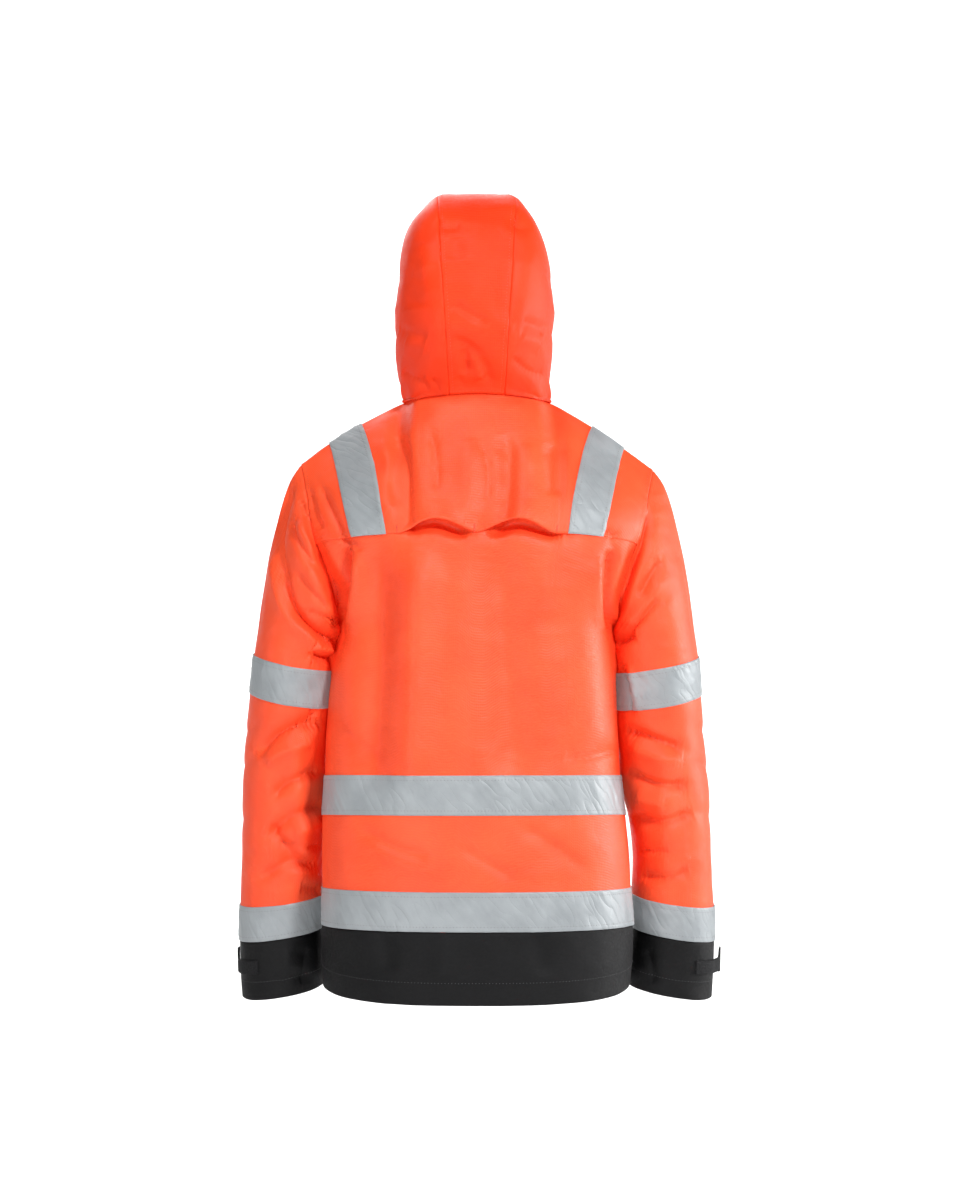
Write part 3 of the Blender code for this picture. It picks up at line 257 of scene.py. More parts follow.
# Folds, as troughs (depth below 0) and ridges along paths, by the panels that they cross and the side of
# the jacket that they're laid out on; lean: how much softer the left or upper flank is than the other
FOLDS = {
    # (panels, side): width, depth, lean, path
    ("hood", "back"): (
        (17, -3.6, 0.0, ((79, 170), (79, 146), (76, 122))),
        (12, 2.5, 0.0, ((66, 208), (63, 172))),
        (9, -2.6, 0.3, ((102, 96), (80, 91), (62, 86))),
        (10, 2.2, 0.0, ((94, 80), (76, 77), (62, 72))),
        (4, -2.6, 0.0, ((58, 33), (47, 19))),
        (4, -2.4, 0.0, ((70, 30), (62, 18))),
        (5, -2.6, 0.0, ((96, 44), (80, 34), (66, 30))),
        (14, -3.4, 0.0, ((31, 216), (26, 184))),
        (20, 5.0, 0.0, ((44, 100), (0, 97), (-50, 98))),
        (8, -4.2, 0.3, ((33, 130), (6, 114), (-14, 105))),
        (6, 2.6, 0.0, ((30, 121), (4, 104), (-14, 96))),
        (8, -4.6, 0.2, ((34, 84), (10, 76), (-8, 52), (-18, 24))),
        (5, -5.5, 0.0, ((16, 72), (13, 40))),
        (7, 4.0, 0.0, ((4, 64), (-6, 32))),
        (4, -2.2, 0.0, ((26, 36), (12, 18))),
        (10, -3.2, 0.2, ((-58, 106), (-72, 101), (-88, 94))),
        (11, 2.0, 0.0, ((-56, 90), (-68, 82), (-84, 76))),
        (6, -2.6, 0.0, ((-44, 60), (-64, 44), (-84, 38))),
        (5, -3.4, 0.0, ((-49, 243), (-45, 231), (-68, 222))),
        (6, -3.0, 0.2, ((52, 236), (40, 226), (20, 230))),
    ),
    ("yoke", "back"): (
        (10, -8.5, 0.3, ((97, -36), (88, -88), (86, -164))),
        (12, -4.2, 0.0, ((126, -60), (112, -95), (99, -128))),
        (12, -7.5, 0.3, ((-39, -36), (-42, -68), (-38, -160))),
        (11, -5.0, 0.0, ((-92, -48), (-98, -84), (-99, -118))),
        (14, 3.6, 0.0, ((117, -42), (115, -150))),
        (16, 4.0, 0.0, ((9, -40), (10, -150))),
        (14, 3.6, 0.0, ((-66, -42), (-66, -150))),
        (5, -3.0, 0.0, ((60, -30), (52, -66), (50, -110))),
        (5, -3.2, 0.2, ((-8, -44), (-16, -90), (-12, -130))),
    ),
    ("yoke sleeve_left", "back"): (
        (6, -7.0, 0.2, ((198, -102), (184, -136), (171, -168))),
        (5, -4.5, 0.2, ((214, -104), (206, -136), (196, -160))),
    ),
    ("yoke back", "back"): (
        (4, -6.5, 0.0, ((173, -166), (164, -178))),
        (4, -4.0, 0.0, ((162, -172), (150, -186))),
        (4, -4.0, 0.0, ((-160, -158), (-178, -168))),
    ),
    ("back", "back"): (
        (10, -17.0, 0.0, ((94, -158), (72, -149), (50, -147), (28, -155), (8, -163))),
        (10, -17.0, 0.0, ((-12, -163), (-34, -153), (-54, -148), (-80, -154), (-112, -163))),
        (8, -20.0, 0.3, ((167, -176), (170, -212), (173, -250), (179, -296))),
        (7, -14.0, 0.3, ((-174, -182), (-172, -212), (-168, -250), (-168, -286))),
    ),
    ("torso", "back"): (
        (20, -12.0, 0.0, ((128, -170), (130, -310), (137, -500))),
        (24, 15.0, 0.0, ((74, -168), (78, -310), (84, -500))),
        (30, -12.0, 0.0, ((-30, -170), (-40, -330), (-50, -490))),
        (30, 6.0, 0.0, ((-134, -170), (-140, -310), (-150, -456))),
        (9, 6.0, 0.0, ((152, -190), (156, -235), (163, -290))),
        (9, 5.0, 0.0, ((-152, -190), (-152, -235), (-156, -290))),
        (8, -2.5, 0.3, ((186, -396), (160, -424), (134, -448))),
        (7, -4.0, 0.3, ((-184, -436), (-150, -446), (-110, -452))),
        (8, -4.0, 0.2, ((150, -536), (110, -560), (60, -575))),
        (9, 3.5, 0.0, ((140, -552), (100, -578), (50, -594))),
        (8, -4.0, 0.2, ((-60, -536), (-96, -556), (-140, -590))),
        (7, -3.5, 0.2, ((20, -560), (-20, -584), (-50, -600))),
        (12, -4.0, 0.0, ((120, -670), (112, -720))),
        (14, 4.0, 0.0, ((40, -672), (46, -735))),
        (12, -4.0, 0.0, ((-80, -668), (-88, -725))),
    ),
    ("sleeve_right", "back"): (
        (5, -9.0, 0.4, ((-219, -150), (-207, -186), (-191, -222), (-177, -256), (-172, -284))),
        (7, -5.0, 0.2, ((-196, -108), (-214, -136), (-218, -168))),
        (6, -6.5, 0.3, ((-236, -196), (-220, -220), (-206, -246))),
        (6, -7.0, 0.3, ((-232, -246), (-214, -268), (-188, -304))),
        (8, 4.0, 0.0, ((-236, -222), (-212, -256), (-190, -284))),
        (4.5, -10.0, 0.2, ((-208, -292), (-192, -299), (-174, -305))),
        (4, -6.0, 0.0, ((-188, -330), (-196, -360), (-202, -392))),
        (4, 4.0, 0.0, ((-198, -332), (-206, -362), (-210, -388))),
        (7, -10.2, 0.3, ((-192, -412), (-226, -424), (-262, -436))),
        (9, 5.8, 0.0, ((-196, -434), (-230, -446), (-262, -452))),
        (7, -9.4, 0.3, ((-190, -466), (-222, -480), (-270, -482))),
        (7, -8.7, 0.3, ((-196, -520), (-232, -528), (-276, -516))),
        (8, 5.1, 0.0, ((-200, -500), (-240, -506))),
        (14, 5.8, 0.0, ((-236, -420), (-240, -520), (-246, -616))),
        (6, -5.8, 0.2, ((-206, -598), (-240, -600), (-270, -590))),
        (2.6, -3.8, 0.0, ((-204, -567), (-246, -567))),
        (7, -4.0, 0.0, ((-216, -690), (-226, -735))),
    ),
    ("sleeve_left", "back"): (
        (6, -6.5, 0.3, ((234, -98), (247, -150), (248, -192), (240, -226))),
        (7, -12.5, 0.4, ((246, -212), (236, -250), (212, -282), (184, -302))),
        (8, 5.5, 0.0, ((260, -170), (258, -215), (246, -260), (212, -302), (190, -316))),
        (17, 15.0, 0.0, ((222, -140), (213, -190), (200, -244), (186, -280))),
        (5, -8.0, 0.2, ((234, -146), (222, -176), (204, -208))),
        (4, -4.5, 0.0, ((226, -118), (214, -146), (206, -170))),
        (5, -5.0, 0.2, ((228, -214), (210, -236), (192, -258))),
        (4, -4.0, 0.0, ((216, -262), (200, -266), (184, -274))),
        (4.5, -12.0, 0.3, ((218, -316), (202, -320), (180, -325))),
        (6, 4.0, 0.0, ((214, -308), (190, -313))),
        (4, -5.8, 0.0, ((221, -392), (208, -397))),
        (8, -10.9, 0.3, ((204, -404), (232, -410), (262, -426), (282, -446))),
        (8, 6.5, 0.0, ((210, -426), (240, -436), (270, -456))),
        (7, -8.7, 0.3, ((194, -466), (226, -474), (262, -500))),
        (8, -8.7, 0.3, ((190, -508), (224, -518), (266, -548))),
        (9, 5.8, 0.0, ((200, -530), (236, -542))),
        (7, -7.2, 0.2, ((200, -584), (236, -582), (276, -602))),
        (6, -5.1, 0.0, ((196, -616), (226, -612))),
        (10, -8.7, 0.3, ((266, -534), (242, -560), (212, -590))),
        (13, 8.7, 0.0, ((232, -420), (226, -510), (218, -612))),
        (2.6, -3.8, 0.0, ((252, -557), (196, -561))),
        (7, -4.0, 0.0, ((216, -690), (224, -735))),
        (8, 3.0, 0.0, ((240, -690), (246, -735))),
    ),
    ("torso", "front"): (
        (24, 9.0, 0.0, ((72, -190), (84, -330), (92, -456))),
        (20, -8.0, 0.0, ((126, -196), (132, -310), (142, -440))),
        (24, 9.0, 0.0, ((-80, -180), (-88, -320), (-86, -450))),
        (18, -8.0, 0.0, ((-122, -200), (-134, -330), (-140, -446))),
        (7, -4.5, 0.2, ((172, -250), (150, -300), (140, -356))),
        (7, -4.5, 0.2, ((-170, -246), (-152, -290), (-136, -340))),
        (6, -4.0, 0.2, ((120, -100), (104, -140), (98, -190))),
        (6, -4.0, 0.2, ((-112, -96), (-104, -136), (-92, -180))),
        (8, -3.5, 0.2, ((150, -540), (110, -566), (64, -584))),
        (8, -3.5, 0.2, ((-40, -534), (-90, -560), (-140, -576))),
    ),
    ("sleeve_left", "front"): (
        (6, -6.0, 0.3, ((250, -150), (232, -200), (206, -246))),
        (7, -6.0, 0.3, ((268, -214), (240, -270), (204, -300))),
        (7, -7.0, 0.3, ((206, -404), (240, -412), (276, -400))),
        (7, -6.5, 0.3, ((204, -444), (238, -452), (280, -470))),
        (8, -5.0, 0.2, ((210, -500), (246, -516), (286, -512))),
        (7, -4.0, 0.2, ((214, -570), (250, -580), (284, -600))),
    ),
    ("sleeve_right", "front"): (
        (6, -6.0, 0.3, ((-246, -146), (-228, -204), (-202, -250))),
        (7, -6.0, 0.3, ((-266, -224), (-236, -266), (-198, -310))),
        (7, -7.0, 0.3, ((-200, -408), (-236, -414), (-270, -398))),
        (7, -6.5, 0.3, ((-198, -452), (-234, -456), (-276, -478))),
        (8, -5.0, 0.2, ((-206, -506), (-244, -512), (-282, -500))),
    ),
    ("sleeve_left", "left"): (
        (7, -1.6, 0.3, ((30, -402), (-20, -416), (-70, -404))),
        (7, -1.5, 0.3, ((24, -446), (-30, -458), (-84, -480))),
        (8, -1.3, 0.3, ((10, -520), (-40, -528), (-92, -512))),
        (9, -1.2, 0.2, ((20, -170), (4, -230), (10, -300))),
        (7, -1.1, 0.2, ((-40, -150), (-34, -220), (-50, -290))),
    ),
    ("sleeve_right", "right"): (
        (7, -1.6, 0.3, ((28, -406), (-24, -414), (-72, -400))),
        (7, -1.5, 0.3, ((22, -450), (-34, -462), (-86, -474))),
        (8, -1.3, 0.3, ((8, -512), (-42, -524), (-94, -518))),
        (9, -1.2, 0.2, ((24, -174), (8, -236), (14, -296))),
        (7, -1.1, 0.2, ((-38, -154), (-32, -224), (-46, -286))),
    ),
    ("hood", "left"): (
        (6, -1.8, 0.2, ((60, 96), (20, 84), (-20, 70))),
        (8, -1.8, 0.2, ((80, 150), (40, 160), (0, 150))),
        (6, -1.6, 0.2, ((40, 40), (0, 26), (-40, 16))),
        (9, 1.4, 0.0, ((60, 120), (16, 116), (-30, 104))),
    ),
    ("hood", "right"): (
        (6, -1.8, 0.2, ((64, 92), (22, 88), (-18, 74))),
        (8, -1.8, 0.2, ((76, 156), (38, 152), (-4, 158))),
        (6, -1.6, 0.2, ((44, 38), (2, 30), (-36, 14))),
        (9, 1.4, 0.0, ((58, 124), (14, 112), (-28, 108))),
    ),
}
AXES = {"back": (0, 1, 0), "front": (0, -1, 0), "left": (1, 0, 0), "right": (-1, 0, 0)}
FACING_FROM = 0.05
FACING_FULL = 0.4
SEAM_CLEARANCE = 9.0
# Narrow folds are creased: their profile is sharper than a wide fold's
CRISPEST = 1.15
CRISP_UNDER = (5.0, 13.0)
CREASE_DEPTH = 1.35
# A fold is worked out within this many widths of its path; its ends start at a share of its depth
PATH_STEPS, PATH_FEWEST = 8, 6
FOLD_REACH = 3
FOLD_END_SHARE = 0.25
FOLD_END_RISE = 4

# A sewn seam lies in a groove, and its stitches pucker the cloth beside it
SEAM_GROOVE, SEAM_GROOVE_WIDTH = 0.9, 2.4
PUCKER, PUCKER_SPACING, PUCKER_REACH = 1.1, 7.0, 9.0

# The lower armhole sinks in between these heights, and the back's cloth hangs over it in a loose fold
SCYE_SINK = 14.0
SCYE_SINK_SPAN = (-168.0, -200.0, -296.0, -330.0)
SCYE_SINK_REACH = {"back": 13.0, "sleeve": 15.0}
OVERHANG_ROWS = (("scye", -6), ("underarm", -2), ("underarm", 4), ("ribs", 9))
OVERHANG_CLEAR = 8.0
OVERHANG = {
    # half: sideways, backwards, centre and width of the fold from the seam, all in millimetres
    1: (12.0, 7.0, 13.0, 12.0),
    -1: (9.0, 6.0, 13.0, 12.0),
}
# The sleeves lie against the body's sides between these heights
SLEEVE_REST = (-258.0, -290.0, -400.0, -450.0)
SLEEVE_REST_IN = {1: 9.0, -1: 6.0}
REST_GAP = 1.2
REST_STEP = 6.0
REST_FREE = 18.0
REST_SPREAD = 0.7
REST_INNER = 0.35
REST_COLUMNS = 30

# Unevenness that all cloth has: how far apart its swells are, and how high
SWELLS = (
    # spacing, height
    (95.0, 1.6),
    (30.0, 0.5),
)
SWELL_OFFSET = 37.0
# Ripples run round a sleeve and slant across the hood: spacing along X, Y and Z, and height
RIPPLES = {
    "sleeve_left": ((60.0, 60.0, 28.0), 1.5),
    "sleeve_right": ((60.0, 60.0, 28.0), 1.5),
    "hood": ((50.0, 60.0, 34.0), 1.6),
    "torso": ((60.0, 60.0, 40.0), 1.0),
}
RIPPLE_LEVEL, RIPPLE_SHARP = 0.35, 1.6
RIPPLE_FACING_FROM, RIPPLE_FACING_GAIN = 0.3, 1.6


def smooth(t):
    """A share kept between 0 and 1 and eased at both ends."""
    t = np.clip(t, 0, 1)
    return t * t * (3 - 2 * t)


def mix(a, b, t):
    return np.asarray(a, float) * (1 - t) + np.asarray(b, float) * t


def hermite(start, start_pull, end, end_pull, t):
    return (
        (2 * t**3 - 3 * t**2 + 1) * start
        + (t**3 - 2 * t**2 + t) * start_pull
        + (3 * t**2 - 2 * t**3) * end
        + (t**3 - t**2) * end_pull
    )


def through_rows(rows, position):
    """The values of a table at a row position that may lie between two rows, on a smooth curve."""
    values = np.array(rows, float)
    last = len(values) - 1
    k = min(int(position), last - 1)
    start, end = values[k], values[k + 1]
    before, after = values[max(k - 1, 0)], values[min(k + 2, last)]
    return hermite(start, (end - before) / 2, end, (after - start) / 2, position - k)


def lengths_along(points, axis=0):
    """How far each point of a line or a grid lies from the first one, along one axis."""
    total = np.cumsum(np.linalg.norm(np.diff(points, axis=axis), axis=-1), axis=axis)
    return np.concatenate([np.zeros_like(total.take([0], axis)), total], axis=axis)


def sampled(wanted, stops, values):
    """Rows of values at the wanted stops, on straight lines between the rows at the given stops."""
    return np.stack([np.interp(wanted, stops, column) for column in values.T], axis=-1)


def at_lengths(points, wanted):
    return sampled(wanted, lengths_along(points), points)


def noise_at(points, scale=1.0, offset=0.0):
    """Smooth noise at each point once scaled and moved, between about -1 and 1."""
    # Blender's noise works in single precision, so the points are rounded first
    flat = points.reshape(-1, 3).astype(np.float32) * np.float32(scale) + np.asarray(offset, np.float32)
    return np.array([noise.noise(Vector(p)) for p in flat]).reshape(points.shape[:-1])


def unit(vectors):
    return vectors / np.maximum(np.linalg.norm(vectors, axis=-1, keepdims=True), 1e-9)


def refined(grid, steps, axis):
    """The grid with that many steps between neighbours along one axis, on curves through its points."""
    grid = np.moveaxis(grid, axis, 0)
    pulls = np.gradient(grid, axis=0)
    steps = [steps] * (len(grid) - 1) if isinstance(steps, int) else steps
    spans = []
    for k, count in enumerate(steps):
        t = (np.arange(count) / count)[:, None, None]
        spans.append(hermite(grid[k], pulls[k], grid[k + 1], pulls[k + 1], t))
    return np.moveaxis(np.concatenate(spans + [grid[-1:]]), 0, axis)


def directions(grid, wrap=False):
    """Outward unit directions at the points of a grid."""
    across = np.gradient(grid, axis=1)
    if wrap:
        across = (np.roll(grid, -1, axis=1) - np.roll(grid, 1, axis=1)) / 2
    return unit(np.cross(across, np.gradient(grid, axis=0)))


class Panel:
    """A stretch of cloth: a grid of points in millimetres, outward directions and the names of its folds."""

    def __init__(self, points, tags, outward=None, wrap=False):
        self.points = points
        self.wrap = wrap
        self.tags = set(tags.split())
        self.outward = directions(points, wrap) if outward is None else outward
        self.seam_distance = np.full(points.shape[:2], SEAM_CLEARANCE)

    def cut(self, rows=slice(None), columns=slice(None), wrap=False):
        """A piece of this panel, on the same points."""
        piece = Panel.__new__(Panel)
        piece.points = self.points[rows][:, columns].copy()
        piece.outward = self.outward[rows][:, columns].copy()
        piece.seam_distance = self.seam_distance[rows][:, columns].copy()
        piece.tags = self.tags
        piece.wrap = wrap
        return piece

    def turned(self):
        """The same cloth with its first row last, and its columns turned to match."""
        return self.cut(slice(None, None, -1), slice(None, None, -1))


# ---- The body, collar, hood and sleeves as coarse grids ----


def half_section(level, side, half):
    """One half of a body section, from the centre line to the armhole or side seam."""
    _, z_side, z_back, z_front, left, right, y_back, y_front, back, front = level
    edge_x = left if half > 0 else right
    edge_y = abs(y_back if side > 0 else y_front)
    centre_y = back if side > 0 else front
    centre_z = z_back if side > 0 else z_front
    power = 2 / BODY_SQUARENESS
    full_x = edge_x / (1 - (edge_y / centre_y) ** BODY_SQUARENESS) ** (1 / BODY_SQUARENESS)
    last = math.acos((edge_y / centre_y) ** (1 / power))
    angles = np.linspace(0, last, 2 * CURVE_POINTS)
    x = full_x * np.sin(angles) ** power
    y = centre_y * np.abs(np.cos(angles)) ** power
    share = lengths_along(np.stack([x, y], axis=1))
    share /= share[-1]
    z = centre_z + (z_side - centre_z) * share**3
    return np.stack([half * x, side * y, z], axis=1)


def level_row(k, side, half):
    """The points of one level at its stations, from the centre out."""
    curve = half_section(LEVELS[k], side, half)
    lengths = lengths_along(curve)
    total = lengths[-1]
    column = 2 if side > 0 else 4
    high_x = np.array([station[column] for station in STATIONS], float)
    high_x *= abs(curve[-1, 0]) / high_x[-1]
    high = np.interp(high_x, np.abs(curve[:, 0]), lengths)
    if side > 0:
        low = np.linspace(0, total, HALF + 1)
    else:
        start = np.interp(ZIP_HALF_OPENING, np.abs(curve[:, 0]), lengths)
        low = np.array([station[5] for station in STATIONS], float)
        low = start + low * (total - start) / low[-1]
    share = smooth(k / EVEN_FROM)
    return at_lengths(curve, high * (1 - share) + low * share)


def neck_edge(side, half):
    """The back or front neck edge from the centre line to the side of the neck."""
    centre = NECK_BACK if side > 0 else NECK_FRONT
    angles = np.linspace(0, math.pi / 2, CURVE_POINTS)
    x = NECK_SIDE[0] * np.sin(angles)
    y = centre[1] * np.cos(angles) ** NECK_PLAN_POWER
    z = centre[2] + (NECK_SIDE[2] - centre[2]) * np.sin(angles) ** NECK_RISE_POWER
    return np.stack([half * x, y, z], axis=1)


def top_row(side, half):
    """The neck edge and the shoulder seam at their stations, and the pull of the cloth away from them."""
    curve = neck_edge(side, half)
    side_of_neck = np.array(NECK_SIDE) * (half, 1, 1)
    shoulder = np.array(SHOULDER_POINT) * (half, 1, 1) + (0, 0, half * SHOULDER_TILT)
    points, pulls = [], []
    for index, station in enumerate(STATIONS):
        x = station[1 if side > 0 else 3]
        if index <= NECK_STATIONS:
            point = sampled(x, np.abs(curve[:, 0]), curve)
            centre_pull = PULL_NECK_BACK if side > 0 else PULL_NECK_FRONT
            pull = mix(centre_pull, PULL_NECK_SIDE, smooth(index / NECK_STATIONS))
        else:
            along = (x - NECK_SIDE[0]) / (SHOULDER_POINT[0] - NECK_SIDE[0])
            point = mix(side_of_neck, shoulder, along)
            point[2] += SHOULDER_CROWN * math.sin(math.pi * along)
            pull = mix(PULL_SHOULDER_NECK, PULL_SHOULDER_POINT, smooth(along))
        pulls.append(pull * (1, side, 1))
        points.append(point)
    return np.array(points), np.array(pulls)


def half_grid(side, half):
    """Rows from the neck and shoulder to the hem, columns from the centre out."""
    top, pulls = top_row(side, half)
    rows = [level_row(k, side, half) for k in range(len(LEVELS))]
    pulls[:, 0] = (rows[0] - top)[:, 0] * PULL_SIDEWAYS
    down = rows[1] - rows[0]
    down *= (np.linalg.norm(rows[0] - top, axis=1) / np.linalg.norm(down, axis=1))[:, None]
    upper = [hermite(top, pulls, rows[0], down, k / YOKE_ROWS) for k in range(YOKE_ROWS)]
    return np.array(upper + rows)


def back_grid():
    right, left = half_grid(1, -1), half_grid(1, 1)
    return np.concatenate([right[:, :0:-1], left], axis=1)


def front_grid(half):
    grid = half_grid(-1, half)
    return grid[:, ::-1] if half > 0 else grid


def collar_grid(loop):
    """Rows from the collar's top edge down to the neck seam."""
    middle_y = (NECK_BACK[1] + NECK_FRONT[1]) / 2
    frontness = np.clip((loop[:, 1] - NECK_BACK[1]) / (NECK_FRONT[1] - NECK_BACK[1]), 0, 1)
    height = COLLAR_HEIGHT_BACK + (COLLAR_HEIGHT_FRONT - COLLAR_HEIGHT_BACK) * frontness
    tapers = smooth(np.abs(loop[:, 0]) / COLLAR_TAPER_FROM_X)
    rows = []
    for share in np.linspace(1, 0, COLLAR_ROWS + 1):
        scale = 1 - (1 - COLLAR_TOP_SCALE) * share
        row = loop.copy()
        row[:, 0] = loop[:, 0] * (1 - (1 - scale) * tapers)
        row[:, 1] = middle_y + (loop[:, 1] - middle_y) * (1 - (1 - scale) * (1 - frontness))
        row[:, 2] += height * share
        rows.append(row)
    return np.array(rows)


def bezier(points, t):
    a, b, c, d = (np.asarray(p, float) for p in points)
    return (1 - t) ** 3 * a + 3 * t * (1 - t) ** 2 * b + 3 * t**2 * (1 - t) * c + t**3 * d


def hood_ring(loop):
    """The line just outside the collar that the hood's lower edge follows, from the zip to the nape."""
    half_loop = loop[::-1][: len(loop) // 2 + 1]
    centre = np.array([0, (NECK_BACK[1] + NECK_FRONT[1]) / 2])
    out = unit(half_loop[:, :2] - centre)
    moved = half_loop.copy()
    moved[:, :2] += out * (HOOD_NECK_GAP + HOOD_WALL)
    moved[:, 2] += HOOD_NECK_RISE
    return moved


def hood_grid(loop):
    """The whole hood, face to nape, columns from the right lower edge over the crown to the left."""
    ring = hood_ring(loop)
    total = lengths_along(ring)[-1]
    seam_end = total - HOOD_PATH[-1][0]
    neck = at_lengths(ring, np.linspace(HOOD_NECK_START, min(HOOD_NECK_END, total), HOOD_ROWS))
    across = np.linspace(-1, 1, HOOD_CENTRE_COLUMNS + 1)
    stops = np.linspace(0, 1, HOOD_SIDE_COLUMNS + 1)
    rows = []
    for r in range(HOOD_ROWS):
        share = r / (HOOD_ROWS - 1)
        seam_x, y, z, reach, slope, flare, rise = through_rows(HOOD_PATH, share * (len(HOOD_PATH) - 1))
        seam = np.array([seam_x, y, z])
        if r == HOOD_ROWS - 1:
            centre = at_lengths(ring, total - np.abs(across) * (total - seam_end))
            centre[:, 0] *= np.sign(across)
            side = at_lengths(ring, np.linspace(seam_end, HOOD_NECK_END, HOOD_SIDE_COLUMNS + 1))
        else:
            outward = unit(np.array([0, y, z - HOOD_MIDDLE_Z]))
            centre = seam * np.stack([across, np.ones(len(across)), np.ones(len(across))], axis=1)
            centre = centre + (HOOD_CROWN_ROUND * (1 - across**2))[:, None] * outward
            chord = unit((neck[r] - seam) * (0, 1, 1))
            lean = HOOD_LEAN * math.sin(math.pi * min(share * HOOD_LEAN_LENGTH, 1))
            upright = unit(mix((0, 0, -1), chord, smooth(share / HOOD_UPRIGHT_UNTIL)))
            first = seam + np.array([reach + lean, 0, 0]) + chord * slope
            second = neck[r] + np.array([flare + lean / 2, 0, 0]) - upright * rise
            controls = (seam, first, second, neck[r])
            curve = np.array([bezier(controls, t) for t in np.linspace(0, 1, CURVE_POINTS)])
            side = at_lengths(curve, stops * lengths_along(curve)[-1])
        mirrored = side[::-1] * (-1, 1, 1)
        rows.append(np.concatenate([mirrored[:-1], centre, side[1:]]))
    grid = np.array(rows)
    worn = smooth(grid[..., 2] / HOOD_SET_OVER) * HOOD_SET
    past = np.clip(-grid[..., 0] - HOOD_SET_FROM, 0, None)
    grid[..., 0] += past * worn
    heights, left, right = np.array(HOOD_LIMITS).T
    x = grid[..., 0]
    limit = np.where(x > 0, np.interp(grid[..., 2], heights, left), np.interp(grid[..., 2], heights, right))
    past, room = np.abs(x) / limit - HOOD_LIMIT_FROM, 1 - HOOD_LIMIT_FROM
    held = limit * (HOOD_LIMIT_FROM + room * (1 - np.exp(-np.clip(past, 0, None) / room)))
    grid[..., 0] = np.where(past > 0, np.sign(x) * held, x)
    return grid


def armhole_loop(back, front, half):
    """The armhole's edge points: shoulder, down the front, underarm and up the back."""
    underarm = YOKE_ROWS + LEVEL_NAMES.index("underarm")
    back_edge = back[: underarm + 1, -1 if half > 0 else 0]
    front_edge = front[: underarm + 1, 0 if half > 0 else -1]
    return np.concatenate([front_edge, back_edge[-2:0:-1]])


def sleeve_ring(values, angles, half):
    z, out, inside, y, depth, roll, drop = values
    power = 2 / SLEEVE_SQUARENESS
    cos, sin = np.cos(angles), np.sin(angles)
    across = np.sign(cos) * np.abs(cos) ** power
    deep = np.sign(sin) * np.abs(sin) ** power
    x = (out + inside) / 2 + (out - inside) / 2 * across
    return np.stack([half * x, y + depth * deep, z + roll * across - drop * deep], axis=1)


def sleeve_grid(loop, table, half):
    """Rows from the armhole to the cuff; columns from the outer side round the front."""
    count = len(loop)
    angles = -2 * math.pi * np.arange(count) / count
    rings = [sleeve_ring(row[1:], angles, half) for row in table]
    cos, sin = np.cos(angles)[:, None], np.sin(angles)[:, None]
    outer, inner, behind = (np.array(p) for p in (CAP_PULL_OUTER, CAP_PULL_INNER, CAP_PULL_BACK))
    even = (outer + inner) / 2
    pull = even + (outer - inner) / 2 * cos + (behind - even) * (1, 0, 1) * np.abs(sin)
    pull[:, 1] = behind[1] * sin[:, 0]
    pull[:, 0] *= half
    down = rings[1] - rings[0]
    down *= (np.linalg.norm(rings[0] - loop, axis=1) / np.linalg.norm(down, axis=1))[:, None]
    cap = [hermite(loop, pull, rings[0], down, k / CAP_ROWS) for k in range(CAP_ROWS)]
    return np.array(cap + rings)


# ---- Fine panels, sewn and folded ----


def fine_row(steps, coarse):
    """The fine row that a coarse row became."""
    return sum(steps[:coarse])


def body_row(name):
    return fine_row(BODY_STEPS_DOWN, YOKE_ROWS + LEVEL_NAMES.index(name))


def ring_row(name):
    return fine_row(SLEEVE_STEPS_DOWN, CAP_ROWS + RING_NAMES.index(name))


def armhole_edge(half, front=False):
    """Which edge of the back, or of that side's front, lies at an armhole."""
    return "first" if (half > 0) == front else "last"


def from_edge(panel, edge, span):
    """The panel's arrays seen from one edge inwards: axis 0 goes in, axis 1 runs along the edge."""
    views = []
    for array in (panel.points, panel.outward):
        if edge in ("first", "last"):
            array = np.moveaxis(array, 1, 0)
        if edge in ("last", "bottom"):
            array = array[::-1]
        views.append(array[:, span])
    return views


def edge_distance(panel, edge):
    """How far each point of a panel lies from one of its edges, along the cloth."""
    inset = lengths_along(from_edge(panel, edge, slice(None))[0])
    if edge in ("last", "bottom"):
        inset = inset[::-1]
    return inset.T if edge in ("first", "last") else inset


def sew(first, second):
    """Two panel edges, as from_edge gives them, get one line and one outward direction."""
    line = (first[0][0] + second[0][0]) / 2
    shared = unit(first[1][0] + second[1][0])
    for points, outward in (first, second):
        shift = line - points[0]
        for k in range(SEAM_BLEND):
            share = 1 - smooth(k / SEAM_BLEND)
            points[k] += shift * share
            outward[k] = unit(mix(outward[k], shared, share))


def seen(points, side):
    """Where points lie on the plane that a side's folds are laid out on."""
    if side == "back":
        scale = EYE_DISTANCE / (EYE_DISTANCE - points[..., 1])
        return np.stack(
            [points[..., 0] * scale, EYE_HEIGHT + (points[..., 2] - EYE_HEIGHT) * scale], axis=-1
        )
    if side == "front":
        return points[..., [0, 2]]
    return points[..., [1, 2]]


def facing(outward, side):
    share = (outward @ np.array(AXES[side], float) - FACING_FROM) / (FACING_FULL - FACING_FROM)
    return smooth(share)


def path_points(path, spacing=4.0):
    """A smooth path through a fold's points, evenly spaced."""
    path = np.array(path, float)
    if len(path) > 2:
        path = refined(path[:, None, :], PATH_STEPS, 0)[:, 0]
    total = lengths_along(path)[-1]
    return at_lengths(path, np.linspace(0, total, max(PATH_FEWEST, int(total / spacing))))


